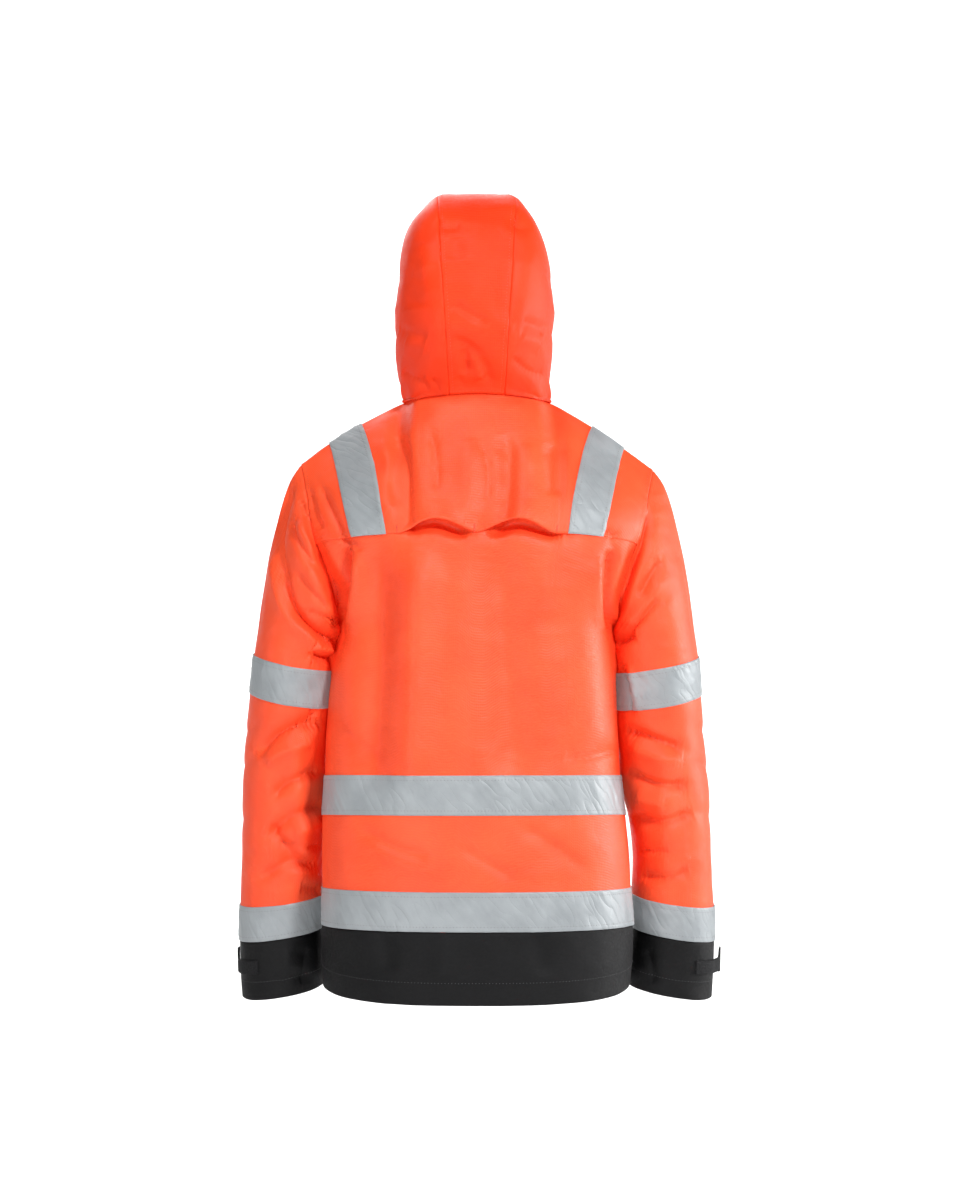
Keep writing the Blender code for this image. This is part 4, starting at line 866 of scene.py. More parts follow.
def fold_height(spots, line, width, depth, lean):
    """How high a fold along a line stands at spots on the same plane."""
    away = spots[:, None, :] - line[None]
    distance = np.linalg.norm(away, axis=2)
    every, nearest = np.arange(len(spots)), distance.argmin(axis=1)
    along, offset = unit(np.gradient(line, axis=0))[nearest], away[every, nearest]
    flank = np.sign(along[:, 0] * offset[:, 1] - along[:, 1] * offset[:, 0])
    at = nearest / (len(line) - 1)
    taper = smooth(np.minimum(at, 1 - at) * FOLD_END_RISE + FOLD_END_SHARE)
    soft = min(max((width - CRISP_UNDER[0]) / (CRISP_UNDER[1] - CRISP_UNDER[0]), 0), 1)
    crisp = CRISPEST + (2 - CRISPEST) * soft
    profile = np.exp(-((distance[every, nearest] / (width * (1 + lean * flank))) ** crisp))
    return depth * (CREASE_DEPTH + (1 - CREASE_DEPTH) * soft) * taper * profile


def fold_shift(panel):
    """How far each point of a panel moves along its outward direction for the folds that cross it."""
    shift = np.zeros(panel.points.shape[:2])
    clear = smooth(panel.seam_distance / SEAM_CLEARANCE)
    for (on, side), folds in FOLDS.items():
        names = on.split()
        if not panel.tags & set(names):
            continue
        flat, turned = seen(panel.points, side), facing(panel.outward, side)
        share = turned * clear if len(names) == 1 and names[0] != "torso" else turned
        for width, depth, lean, path in folds:
            line, reach = path_points(path), FOLD_REACH * width
            near = (flat > line.min(axis=0) - reach) & (flat < line.max(axis=0) + reach)
            near = near.all(axis=-1) & (turned > 0)
            if near.any():
                shift[near] += share[near] * fold_height(flat[near], line, width, depth, lean)
    return shift


def swell_shift(points):
    """Uneven swells of the cloth, the same at the same place on every panel."""
    return sum(
        height * noise_at(points / spacing, offset=(SWELL_OFFSET * (index + 1), 0, 0))
        for index, (spacing, height) in enumerate(SWELLS)
    )


def ripple_shift(panel):
    """Low creases between soft swells, stretched along the way that the cloth is pulled."""
    shift = np.zeros(panel.points.shape[:2])
    for name, (spacing, height) in RIPPLES.items():
        if name in panel.tags:
            wave = np.abs(noise_at(panel.points / np.array(spacing)))
            shift += height * (RIPPLE_LEVEL - wave * RIPPLE_SHARP)
    turned = np.abs(panel.outward[..., 1]) * RIPPLE_FACING_GAIN - RIPPLE_FACING_FROM
    return shift * smooth(turned)


def rise_and_fall(value, start, full, still, end):
    """A share that climbs from start to full, stays, and falls from still to end."""
    return smooth((value - start) / (full - start)) * smooth((value - end) / (still - end))


def draw_in_armhole(back, front, sleeve, half):
    """Grooves and puckers an armhole's seam, and sinks its lower back part under the fold above it."""
    under = body_row("underarm")
    for panel, edge in ((back, armhole_edge(half)), (front, armhole_edge(half, True))):
        distance = edge_distance(panel, edge)[: under + 1]
        seam = panel.points[: under + 1, -1 if edge == "last" else 0]
        shift = np.zeros(panel.points.shape[:2])
        shift[: under + 1] = seam_shift(seam, distance)
        panel.points = panel.points + shift[..., None] * panel.outward
        if panel is back:
            heights = panel.points[:, -1 if edge == "last" else 0, 2][:, None]
            sink_armhole(panel, edge_distance(panel, edge), heights, SCYE_SINK_REACH["back"])
    distance, seam = sleeve.seam_distance, sleeve.points[0].copy()
    shift = seam_shift(seam, distance.T).T
    sleeve.points = sleeve.points + shift[..., None] * sleeve.outward
    heights = np.where(sleeve.outward[0, :, 1] > 0, seam[:, 2], 0)[None, :]
    sink_armhole(sleeve, distance, heights, SCYE_SINK_REACH["sleeve"])


def hang_over(back):
    """Moves the back's cloth sideways over the lower part of each armhole."""
    row = np.arange(len(back.points))[:, None]
    share = rise_and_fall(row, *(body_row(name) + more for name, more in OVERHANG_ROWS))
    for half, (sideways, backwards, centre, width) in OVERHANG.items():
        distance = edge_distance(back, armhole_edge(half))
        near = np.exp(-(((distance - centre) / width) ** 2)) * smooth(distance / OVERHANG_CLEAR)
        back.points[..., :2] += (near * share)[..., None] * (half * sideways, backwards)


def rest_on_body(sleeve, half, body):
    """Moves a sleeve's inner side towards the body until it lies against it."""
    start, full, still, end = SLEEVE_REST
    z = sleeve.points[..., 2]
    inner = np.clip(-sleeve.outward[..., 0] * half, 0, 1) ** REST_SPREAD
    share = rise_and_fall(-z, -start, -full, -still, -end)
    held = smooth(sleeve.seam_distance / REST_FREE)
    x = half * sleeve.points[..., 0]
    wanted = x - SLEEVE_REST_IN[half] * inner * share
    for low in np.arange(z.min(), z.max(), REST_STEP):
        here = (z >= low) & (z < low + REST_STEP) & (share > 0) & (inner > REST_INNER)
        close = body[np.abs(body[:, 2] - low - REST_STEP / 2) < REST_STEP]
        if here.any() and len(close):
            close = close[np.argsort(close[:, 1])]
            limit = np.interp(sleeve.points[here][:, 1], close[:, 1], half * close[:, 0]) + REST_GAP
            wanted[here] = np.maximum(wanted[here], limit)
    sleeve.points[..., 0] = half * (x + (wanted - x) * held)
    sleeve.outward = directions(sleeve.points, True)


def seam_shift(edge_points, distance):
    """The groove along a seam and the puckers that its stitches draw in the cloth beside it."""
    groove = -SEAM_GROOVE * np.exp(-((distance / SEAM_GROOVE_WIDTH) ** 2))
    pull = noise_at(edge_points / PUCKER_SPACING)[:, None]
    return groove + PUCKER * pull * np.exp(-distance / PUCKER_REACH)


def sink_armhole(panel, distance, heights, reach):
    """Draws the cloth on both sides of the lower armhole in, so that the back folds over it."""
    share = rise_and_fall(-heights, *(-z for z in SCYE_SINK_SPAN))
    panel.points[..., 1] -= SCYE_SINK * share * np.exp(-((distance / reach) ** 3))


def shape(panel, hold=1.0):
    """Moves the panel's points to its folds and swells, less where hold is under 1."""
    shift = (fold_shift(panel) + swell_shift(panel.points) + ripple_shift(panel)) * hold
    panel.points = panel.points + shift[..., None] * panel.outward
    panel.outward = directions(panel.points, panel.wrap)


def body_panels():
    """The back, its yoke and the two fronts, sewn at the shoulders and the sides."""
    grids = {"back": back_grid(), "left": front_grid(1), "right": front_grid(-1)}
    panels = {}
    for name, grid in grids.items():
        fine = refined(refined(grid, BODY_STEPS_DOWN, 0), STEPS_ACROSS, 1)
        panels[name] = Panel(fine, "torso back yoke" if name == "back" else "torso front")
    neck = (HALF + NECK_STATIONS) * STEPS_ACROSS
    seam = (HALF - NECK_STATIONS) * STEPS_ACROSS
    back, left, right = panels["back"], panels["left"], panels["right"]
    sew(
        from_edge(back, "top", slice(neck, None)),
        [view[:, ::-1] for view in from_edge(left, "top", slice(0, seam + 1))],
    )
    sew(
        from_edge(back, "top", slice(0, seam + 1)),
        [view[:, ::-1] for view in from_edge(right, "top", slice(-seam - 1, None))],
    )
    under = slice(body_row("underarm"), None)
    sew(from_edge(back, "last", under), from_edge(left, "first", under))
    sew(from_edge(back, "first", under), from_edge(right, "last", under))
    return grids, panels


def sleeve_panel(grids, panels, half):
    """A sleeve's tube, sewn into its armhole."""
    side_name = "left" if half > 0 else "right"
    front, back = panels[side_name], panels["back"]
    table = SLEEVE_LEFT if half > 0 else SLEEVE_RIGHT
    coarse = sleeve_grid(armhole_loop(grids["back"], grids[side_name], half), table, half)
    padded = np.concatenate([coarse[:, -2:], coarse, coarse[:, :3]], axis=1)
    fine = refined(refined(padded, SCYE_STEPS, 1), SLEEVE_STEPS_DOWN, 0)
    fine = fine[:, 2 * SCYE_STEPS : -2 * SCYE_STEPS]
    if half < 0:
        fine = fine[:, ::-1]
    sleeve = Panel(np.ascontiguousarray(fine), f"sleeve_{side_name}")
    underarm = body_row("underarm")
    armhole = slice(0, underarm + 1)
    rows = from_edge(sleeve, "top", slice(None))
    if half < 0:
        rows = [view[:, ::-1] for view in rows]
    sew(from_edge(front, armhole_edge(half, True), armhole), [v[:, : underarm + 1] for v in rows])
    sew(from_edge(back, armhole_edge(half), armhole), [v[:, underarm:][:, ::-1] for v in rows])
    sleeve.points = sleeve.points[:, :-1]
    sleeve.outward = sleeve.outward[:, :-1]
    sleeve.wrap = True
    sleeve.seam_distance = lengths_along(sleeve.points)
    return sleeve


def mark_seam_distance(panel, edge):
    """How far along the cloth each point of a body panel lies from the armhole's edge."""
    below = np.clip(np.arange(len(panel.points)) - body_row("underarm"), 0, None) * LAP_WIDTH / 2
    panel.seam_distance = np.minimum(panel.seam_distance, edge_distance(panel, edge) + below[:, None])


def vent_arch(x):
    """How far a point of the yoke's free edge stands in a vent arch, from 0 to 1."""
    return np.sin(math.pi * np.clip(np.abs(x) / ARCH_SPAN, 0, 1)) ** ARCH_POWER


def yoke_panel(back):
    """The yoke: its lower rows rise above the back and stand away in two vent arches."""
    last = body_row("yoke")
    yoke = back.cut(slice(0, last + 1))
    yoke.tags = {"torso", "yoke"}
    arch = vent_arch(yoke.points[-1, :, 0])
    row = np.arange(last + 1)
    rise = np.clip((row - last) / SCYE_STEPS + 1, 0, 1)
    stand = np.clip((row - last) / (2 * SCYE_STEPS) + 1, 0, 1) ** ARCH_STAND_POWER
    yoke.points[..., 2] += ARCH_RISE * rise[:, None] * arch
    yoke.points += yoke.outward * (ARCH_STAND * stand[:, None] * arch)[..., None]
    return yoke


def hem_distance(hood):
    """How far each point of the hood lies from its lower edge, along its rows and columns."""
    across, down = lengths_along(hood, 1), lengths_along(hood)
    return np.minimum.reduce([across, across[:, -1:] - across, down[-1:] - down])


def cut_pattern():
    """Every stretch of cloth as a fine panel, folded and ready to be made into pieces."""
    grids, panels = body_panels()
    for half, name in SIDES:
        panels[f"sleeve_{name}"] = sleeve_panel(grids, panels, half)
        mark_seam_distance(panels[name], armhole_edge(half, True))
    mark_seam_distance(panels["back"], "first")
    mark_seam_distance(panels["back"], "last")
    for half, name in SIDES:
        draw_in_armhole(panels["back"], panels[name], panels[f"sleeve_{name}"], half)
    panels["yoke"] = yoke_panel(panels["back"])
    hang_over(panels["back"])
    neck = NECK_STATIONS * STEPS_ACROSS
    for panel in panels.values():
        shape(panel)
    for half, name in SIDES:
        first, last = slice(0, REST_COLUMNS), slice(-REST_COLUMNS, None)
        behind, before = (last, first) if half > 0 else (first, last)
        sides = [panels["back"].points[:, behind], panels[name].points[:, before]]
        rest_on_body(panels[f"sleeve_{name}"], half, np.concatenate([part.reshape(-1, 3) for part in sides]))
    behind = panels["yoke"].points[0]
    middle = HALF * STEPS_ACROSS
    loop = np.concatenate([
        panels["right"].points[0, :neck],
        behind[middle - neck : middle + neck + 1],
        panels["left"].points[0, -neck:],
    ])
    panels["collar"] = Panel(collar_grid(loop), "collar")
    hood = refined(refined(hood_grid(loop), HOOD_STEPS_DOWN, 0), HOOD_STEPS_ACROSS, 1)
    panels["hood"] = Panel(hood, "hood")
    shape(panels["hood"], hold=smooth(hem_distance(hood) / HOOD_HELD))
    return panels


# ---- Pieces ----

YOKE_LAP_FROM = 2 * SCYE_STEPS
YOKE_LAP_TO = 3 * SCYE_STEPS
SEAM_GAP = 0.02
EDGE_ROUND = 1.2
LIP_DEPTH = 0.8
HEM_STEP = 3.0
COLLAR_HEM = 8.0
TAPE_EDGE_ROUND = 0.4
LAYER_GAP = 0.3
ZIP_STRIP_DEPTH = 2.5
ZIP_STRIP_COLUMNS = 5
SLEEVE_SEAM_STEPS = FRONT_SEAM_STATION * SCYE_STEPS
UV_NAME = "cloth"
PATTERN = {}


def pattern():
    """The panels, cut once and shared by every operator."""
    if not PATTERN:
        PATTERN.update(cut_pattern())
    return PATTERN


def cloth_sizes():
    return bpy.context.scene.jacket_cloth


def away_from(points, wrap):
    """Unit steps out of a grid over its own edges, and zero inside it."""
    away = np.zeros_like(points)
    away[0] += unit(points[0] - points[1])
    away[-1] += unit(points[-1] - points[-2])
    if not wrap:
        away[:, 0] += unit(points[:, 0] - points[:, 1])
        away[:, -1] += unit(points[:, -1] - points[:, -2])
    return away


def closed(panel):
    """The panel's points; a tube's first column comes again as its last."""
    return np.concatenate([panel.points, panel.points[:, :1]], axis=1) if panel.wrap else panel.points


def flat_coordinates(panel):
    """How far across and down the cloth each point lies, in metres; a tube gets one column more."""
    across, down = lengths_along(closed(panel), 1), lengths_along(closed(panel))
    return np.stack([across - across[:, -1:] / 2, -down], axis=-1) * MM


def boundary(rows, columns, wrap):
    """The edge points of a grid as closed runs of (row, column), turning the same way as its faces."""
    top = [(0, c) for c in range(columns)]
    bottom = [(rows - 1, c) for c in range(columns - 1, -1, -1)]
    if wrap:
        return [top + [(0, columns)], [(rows - 1, columns)] + bottom]
    right = [(r, columns - 1) for r in range(1, rows - 1)]
    left = [(r, 0) for r in range(rows - 2, 0, -1)]
    return [top + right + bottom + left + [(0, 0)]]


def mesh_object(name, points, faces, uvs=None):
    mesh = bpy.data.meshes.new(name)
    mesh.from_pydata(points.tolist(), [], faces.tolist())
    if uvs is not None:
        layer = mesh.uv_layers.new(name=UV_NAME)
        layer.uv.foreach_set("vector", np.ascontiguousarray(uvs, np.float32).ravel())
    mesh.shade_smooth()
    mesh.update()
    obj = bpy.data.objects.new(name, mesh)
    bpy.context.scene.collection.objects.link(obj)
    return obj


def wall_object(name, panel, outer, wall, bevel=EDGE_ROUND):
    """A closed cloth wall on a panel, with a rounded rim; outer and wall may differ from point to point."""
    rows, columns = panel.points.shape[:2]
    outer = np.broadcast_to(outer, (rows, columns))[..., None]
    wall = np.broadcast_to(wall, (rows, columns))[..., None]
    away = away_from(panel.points, panel.wrap)
    outside = panel.points + panel.outward * outer - away * bevel
    inside = panel.points + panel.outward * (outer - wall) - away * SEAM_GAP / 2
    lip = panel.points + panel.outward * (outer - wall * LIP_DEPTH) - away * SEAM_GAP / 2
    count = rows * columns
    flat = flat_coordinates(panel)
    spans = columns if panel.wrap else columns - 1
    r, c = (g.ravel() for g in np.meshgrid(np.arange(rows - 1), np.arange(spans), indexing="ij"))
    corners = np.stack([r, c, r, c + 1, r + 1, c + 1, r + 1, c], axis=1).reshape(-1, 4, 2)
    front = corners[..., 0] * columns + corners[..., 1] % columns
    flat_front = flat[corners[..., 0], corners[..., 1]]
    faces = [front, count + front[:, ::-1]]
    uvs = [flat_front, flat_front[:, ::-1]]
    rims = []
    first_rim = 2 * count
    for run in boundary(rows, columns, panel.wrap):
        row, column = np.array(run).T
        spot = row * columns + column % columns
        middle = lip.reshape(-1, 3)[spot[:-1]]
        rims.append(middle)
        rim = np.append(first_rim + np.arange(len(middle)), first_rim)
        a, b, ma, mb = spot[:-1], spot[1:], rim[:-1], rim[1:]
        faces += [np.stack([b, a, ma, mb], axis=1), np.stack([mb, ma, count + a, count + b], axis=1)]
        edge = flat[row, column]
        quad = np.stack([edge[1:], edge[:-1], edge[:-1], edge[1:]], axis=1)
        uvs += [quad, quad]
        first_rim += len(middle)
    points = np.concatenate([outside.reshape(-1, 3), inside.reshape(-1, 3)] + rims) * MM
    return mesh_object(name, points, np.concatenate(faces), np.concatenate(uvs))


def flat_size(panel):
    """The width and length of the rectangle that the panel is cut from, in metres."""
    flat = flat_coordinates(panel)
    return float(np.ptp(flat[..., 0], axis=1).max()), float(np.ptp(flat[..., 1], axis=0).max())


def add_cloth(node, panel, finish, outer=0.0, wall=None, held="hung"):
    """Makes the cloth piece that stands for a node, and hides the node's solid."""
    wall = cloth_sizes().shell_wall / MM if wall is None else wall
    bevel = EDGE_ROUND if held == "hung" else TAPE_EDGE_ROUND
    obj = wall_object(f"{node}_cloth", panel, outer, wall, bevel)
    obj.data.materials.append(finish_material(finish))
    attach(obj, BODY)
    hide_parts(node)
    flat_size(panel)
    return obj


def hem_wall(panel, edges, width):
    """A cloth wall that is thicker where its edges are folded back and stitched."""
    sizes = cloth_sizes()
    inset = np.minimum.reduce([edge_distance(panel, edge) for edge in edges])
    folded = smooth((width - inset) / HEM_STEP + 0.5)
    return (sizes.shell_wall + sizes.hem_extra * folded) / MM


def lap_height(panel):
    """The body side of an armhole seam lies over the sleeve's, so it stands a little higher."""
    return LAP_RISE * (1 - smooth(panel.seam_distance / LAP_WIDTH))


def raised(panel, height):
    """A copy of the panel, moved out."""
    copy = panel.cut(wrap=panel.wrap)
    copy.points = copy.points + copy.outward * np.asarray(height, float)[..., None]
    return copy


def joined(*panels):
    """Panels that lie end to end, as one: each starts with the row that the last one ended with."""
    whole = panels[0].cut()
    for panel in panels[1:]:
        whole.outward[-1] = unit(whole.outward[-1] + panel.outward[0])
        for name in ("points", "outward", "seam_distance"):
            setattr(whole, name, np.concatenate([getattr(whole, name), getattr(panel, name)[1:]]))
    return whole


def yoke_height(rows):
    """The yoke comes up over the back where the two start to overlap."""
    full = cloth_sizes().shell_wall / MM + LAYER_GAP
    lapped = (np.arange(rows) - YOKE_LAP_FROM) / (YOKE_LAP_TO - YOKE_LAP_FROM)
    return full * smooth(lapped)


def body_piece(name, top, bottom):
    """A stretch of a body panel between two levels, raised where it laps the armhole seam."""
    panel = pattern()[name].cut(slice(top, bottom + 1))
    return raised(panel, lap_height(panel))


def yoke_piece():
    panel = pattern()["yoke"]
    return raised(panel, lap_height(panel) + yoke_height(len(panel.points))[:, None])


def hood_pieces():
    first = sum(HOOD_STEPS_ACROSS[:HOOD_SIDE_COLUMNS])
    last = first + sum(HOOD_STEPS_ACROSS[HOOD_SIDE_COLUMNS : HOOD_SIDE_COLUMNS + HOOD_CENTRE_COLUMNS])
    hood = pattern()["hood"]
    return {
        "hood_right": hood.cut(columns=slice(None, first + 1)),
        "hood_centre": hood.cut(columns=slice(first, last + 1)),
        "hood_left": hood.cut(columns=slice(last, None)),
    }


def sleeve_order(half, count):
    return np.arange(count) if half > 0 else -np.arange(count) % count


def sleeve_pieces(half, side_name):
    """The two parts of a sleeve between its seams, down to the cuff."""
    sleeve = pattern()[f"sleeve_{side_name}"]
    rows = slice(0, ring_row("cuff_tape_bottom") + 1)
    count = sleeve.points.shape[1]
    order = sleeve_order(half, count)
    middle = count // 2
    columns = {
        "front": order[SLEEVE_SEAM_STEPS : middle + 1],
        "back": np.concatenate([order[middle:], order[: SLEEVE_SEAM_STEPS + 1]]),
    }
    if half < 0:
        columns = {part: line[::-1] for part, line in columns.items()}
    return {part: sleeve.cut(rows, line) for part, line in columns.items()}


# ---- Reflective tapes ----

WRINKLE_SPACING = (13.0, 42.0)
WRINKLE_LEAN = -0.75
WRINKLE_SHARP = 10.0
# Which wrinkles a tape gets depends on where it lies; they come in patches, and the tape curls a little
WRINKLE_PLACE = (0.013, 0.0, 0.07)
WRINKLE_PATCH_SPREAD, WRINKLE_PATCH_OFFSET = 0.5, 9.0
WRINKLE_PATCH_GAIN, WRINKLE_PATCH_LEVEL = 2.5, 0.35
WRINKLE_CURL = 0.3
TAPE_STITCH_INSET = 6.0


def tape_wrinkles(panel):
    """How far a tape stands off its cloth: it is stiffer than the cloth, so it crinkles on the slant."""
    flat = flat_coordinates(panel)[:, : panel.points.shape[1]] / MM
    place = (panel.points @ np.array(WRINKLE_PLACE)).mean()
    slant = (flat[..., 0] + flat[..., 1] * WRINKLE_LEAN) / WRINKLE_SPACING[0]
    along = (flat[..., 1] - flat[..., 0] * WRINKLE_LEAN) / WRINKLE_SPACING[1]
    spots = np.stack([slant, along, np.full_like(slant, place)], axis=-1)
    wave = noise_at(spots)
    patch = noise_at(spots, WRINKLE_PATCH_SPREAD, WRINKLE_PATCH_OFFSET)
    crease = np.exp(-np.abs(wave) * WRINKLE_SHARP)
    crease = crease * smooth(patch * WRINKLE_PATCH_GAIN + WRINKLE_PATCH_LEVEL)
    return (crease + WRINKLE_CURL * (1 + wave)) * cloth_sizes().tape_crinkle / MM


def tape_panel(panel):
    """A tape on a stretch of cloth, crinkled and clear of it."""
    return raised(panel, cloth_sizes().tape_wall / MM + LAYER_GAP + tape_wrinkles(panel))


def band(panel, top):
    """The stretch of a body panel that a tape covers."""
    return panel.cut(slice(body_row(f"{top}_top"), body_row(f"{top}_bottom") + 1))


def tape_panels():
    """Every reflective tape as a panel, with the node that it stands for and the cloth that it lies on."""
    panels = pattern()
    tapes = []
    for where, name in (("back", "back"), ("left", "left"), ("right", "right")):
        for height in ("mid_tape", "low_tape"):
            cloth = "back_body" if where == "back" else f"front_{where}"
            tapes.append((f"{height}_{where}", cloth, tape_panel(band(panels[name], height))))
    for half, side in SIDES:
        for part, ring in (("elbow_tape", "elbow_tape"), ("forearm_tape", "cuff_tape")):
            rows = slice(ring_row(f"{ring}_top"), ring_row(f"{ring}_bottom") + 1)
            tube = panels[f"sleeve_{side}"].cut(rows, wrap=True)
            tapes.append((f"{part}_{side}", f"sleeve_{side}_back", tape_panel(tube)))
        centre = HALF * STEPS_ACROSS
        inner, outer = TAPE_FROM * STEPS_ACROSS, TAPE_TO * STEPS_ACROSS
        yoke, front = yoke_piece(), panels[side].cut(slice(0, body_row("mid_tape_top") + 1))
        if half > 0:
            over = yoke.cut(columns=slice(centre + inner, centre + outer + 1))
            front = front.cut(columns=slice(centre - outer, centre - inner + 1))
        else:
            over = yoke.cut(columns=slice(centre - outer, centre - inner + 1))
            front = front.cut(columns=slice(inner, outer + 1))
        tapes.append((f"shoulder_tape_{side}", "back_yoke", tape_panel(joined(over.turned(), front))))
    return tapes


# ---- Stitching ----

STITCH_FACES = np.array([
    (1, 2, 4), (1, 4, 3), (1, 3, 5), (1, 5, 2), (0, 4, 2), (0, 3, 4), (0, 5, 3), (0, 2, 5),
])
SEAM_STITCH_INSET = 6.0
YOKE_STITCH_INSET = 8.0
HOOD_STITCH_INSET = 5.5
HOOD_HEM_INSET = 5.0
FACE_HEM_INSET = 22.0
HEM_STITCH_INSET = 28.0
CUFF_STITCH_INSET = 24.0
LINE_SPREAD, HIDDEN_GAP = 3.0, 1000.0
STITCH_RISE = 0.45
BARTACK_HEIGHT = 9.0
BARTACK_POINTS = 8
BARTACK_LIFT = 0.2
BARTACKS = (99.0, 1.5, -99.0)
DARTS = (("left", ((252, -555), (196, -559))), ("right", ((-204, -565), (-246, -565))))


def inset_line(panel, edge, inset, span=slice(None)):
    """Points and directions along a panel, that far in from one of its edges."""
    arrays = from_edge(panel, edge, span)
    lengths = lengths_along(arrays[0])
    line, turned = (
        np.array([sampled(inset, lengths[:, k], array[:, k]) for k in range(lengths.shape[1])])
        for array in arrays
    )
    if panel.wrap:
        line, turned = (np.concatenate([part, part[:1]]) for part in (line, turned))
    return line, unit(turned)


def on_cloth(panel, side, path):
    """Points and directions on a panel that a straight or bent path on one side's plane falls on."""
    flat, turned = seen(panel.points, side), facing(panel.outward, side)
    arrays = (panel.points, panel.outward)
    found = []
    for spot in path_points(path, 1.0):
        gap = np.linalg.norm(flat - spot, axis=2) + HIDDEN_GAP * (turned <= 0)
        weight = np.exp(-((gap / LINE_SPREAD) ** 2))
        found.append([(weight[..., None] * array).sum(axis=(0, 1)) / weight.sum() for array in arrays])
    found = np.array(found)
    return found[:, 0], unit(found[:, 1])


def stitch_mesh(name, lines, finish, pitch, length, width):
    """Rows of stitches as one mesh: each stitch is a grain of thread that dips into the cloth at its ends."""
    points, faces, count = [], [], 0
    for line, outward in lines:
        lengths = lengths_along(line)
        stops = np.arange(pitch / 2, lengths[-1], pitch)
        if len(stops) < 2:
            continue
        at = at_lengths(line, stops)
        up = unit(sampled(stops, lengths, outward))
        along = unit(np.gradient(at, axis=0))
        across = np.cross(up, along)
        rise = min(width, length) * STITCH_RISE
        grain = np.stack([
            at - along * length / 2 - up * rise, at + along * length / 2 - up * rise,
            at + across * width / 2, at - across * width / 2, at + up * rise, at - up * rise,
        ], axis=1)
        points.append(grain.reshape(-1, 3))
        starts = count + 6 * np.arange(len(at))
        faces.append((starts[:, None, None] + STITCH_FACES[None]).reshape(-1, 3))
        count += 6 * len(at)
    obj = mesh_object(name, np.concatenate(points) * MM, np.concatenate(faces))
    obj.data.materials.append(finish_material(finish))
    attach(obj, BODY)
    return obj


# ---- Zip ----

TOOTH_PITCH = 2.6
TOOTH_SIZE = (3.8, 1.7, 2.2)
TOOTH_OVERLAP = 0.9
TOOTH_TAPER = 0.62
TOOTH_CENTRE = -1.35
SLIDER_ROOM = 1.0


def zip_line():
    """The line between the front edges, from the collar's top to the hem, and its directions."""
    collar, front = pattern()["collar"], pattern()["left"]
    points = np.concatenate([collar.points[:-1, -1], front.points[:, -1]])
    outward = np.concatenate([collar.outward[:-1, -1], front.outward[:, -1]])
    return points * (0, 1, 1), unit(outward * (0, 1, 1))


def zip_strip(half, side_name):
    """One side of the zip's woven strip, behind the front edge from the collar's top to the hem."""
    collar, front = pattern()["collar"], pattern()[side_name]
    near = slice(-ZIP_STRIP_COLUMNS - 1, None) if half > 0 else slice(0, ZIP_STRIP_COLUMNS + 1)
    strip = joined(collar.cut(columns=near), front.cut(columns=near))
    edge = strip.cut(columns=slice(-1, None) if half > 0 else slice(0, 1))
    edge.points[..., 0] = half * ZIP_STRIP_EDGE
    parts = (strip, edge) if half > 0 else (edge, strip)
    for name in ("points", "outward", "seam_distance"):
        setattr(strip, name, np.concatenate([getattr(part, name) for part in parts], axis=1))
    return strip


def zip_teeth():
    """Both rows of moulded teeth as one mesh, left out where the slider holds them."""
    line, outward = zip_line()
    low, high = (corner[2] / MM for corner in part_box("zip_slider"))
    lengths = lengths_along(line)
    stops = np.arange(TOOTH_PITCH / 2, lengths[-1] - TOOTH_PITCH, TOOTH_PITCH / 2)
    at = at_lengths(line, stops)
    up = unit(sampled(stops, lengths, outward))
    along = unit(np.gradient(at, axis=0))
    side = np.where(np.arange(len(at)) % 2, 1.0, -1.0)
    free = (at[:, 2] < low - SLIDER_ROOM) | (at[:, 2] > high + SLIDER_ROOM)
    at, up, along, side = at[free], up[free], along[free], side[free]
    wide, tall, thick = TOOTH_SIZE
    centre = at + up * TOOTH_CENTRE
    centre[:, 0] += side * (wide / 2 - TOOTH_OVERLAP)
    across = np.array([1.0, 0.0, 0.0])
    corners = []
    for x, z, y in itertools.product((-1, 1), repeat=3):
        narrow = TOOTH_TAPER if y > 0 else 1.0
        flat = across * x * wide / 2 * narrow + along * z * tall / 2 * narrow
        corners.append(centre + flat + up * y * thick / 2)
    points = np.stack(corners, axis=1).reshape(-1, 3)
    block = np.array([(0, 1, 3, 2), (4, 6, 7, 5), (0, 4, 5, 1), (2, 3, 7, 6), (0, 2, 6, 4), (1, 5, 7, 3)])
    faces = (8 * np.arange(len(at))[:, None, None] + block[None]).reshape(-1, 4)
    return mesh_object("zip_teeth", points * MM, faces)


# ---- Hood edges, cuff tabs and the lines that are sewn ----

HOOD_ROLL = 1.6
HOOD_GROOVE, HOOD_GROOVE_OUT, HOOD_GROOVE_WIDTH = 0.5, 1.0, 2.0
HOOD_ROLL_WIDTH = 5.0
FACE_HEM_WIDTH = 22.0
TAB_WALL = 2.2
# columns that a tab covers, counted from the sleeve's outer side, and over how many it widens
TAB_FROM, TAB_TO = -3 * SCYE_STEPS, 8
TAB_WIDENS_OVER = 3
TAB_STAND_LEFT, TAB_STAND_RIGHT = 3.0, 10.0
TAB_LIFT = 4.0
TAB_END_RISE, TAB_END_DROP = 11.0, 2.0
ZIP_WALL = 1.0


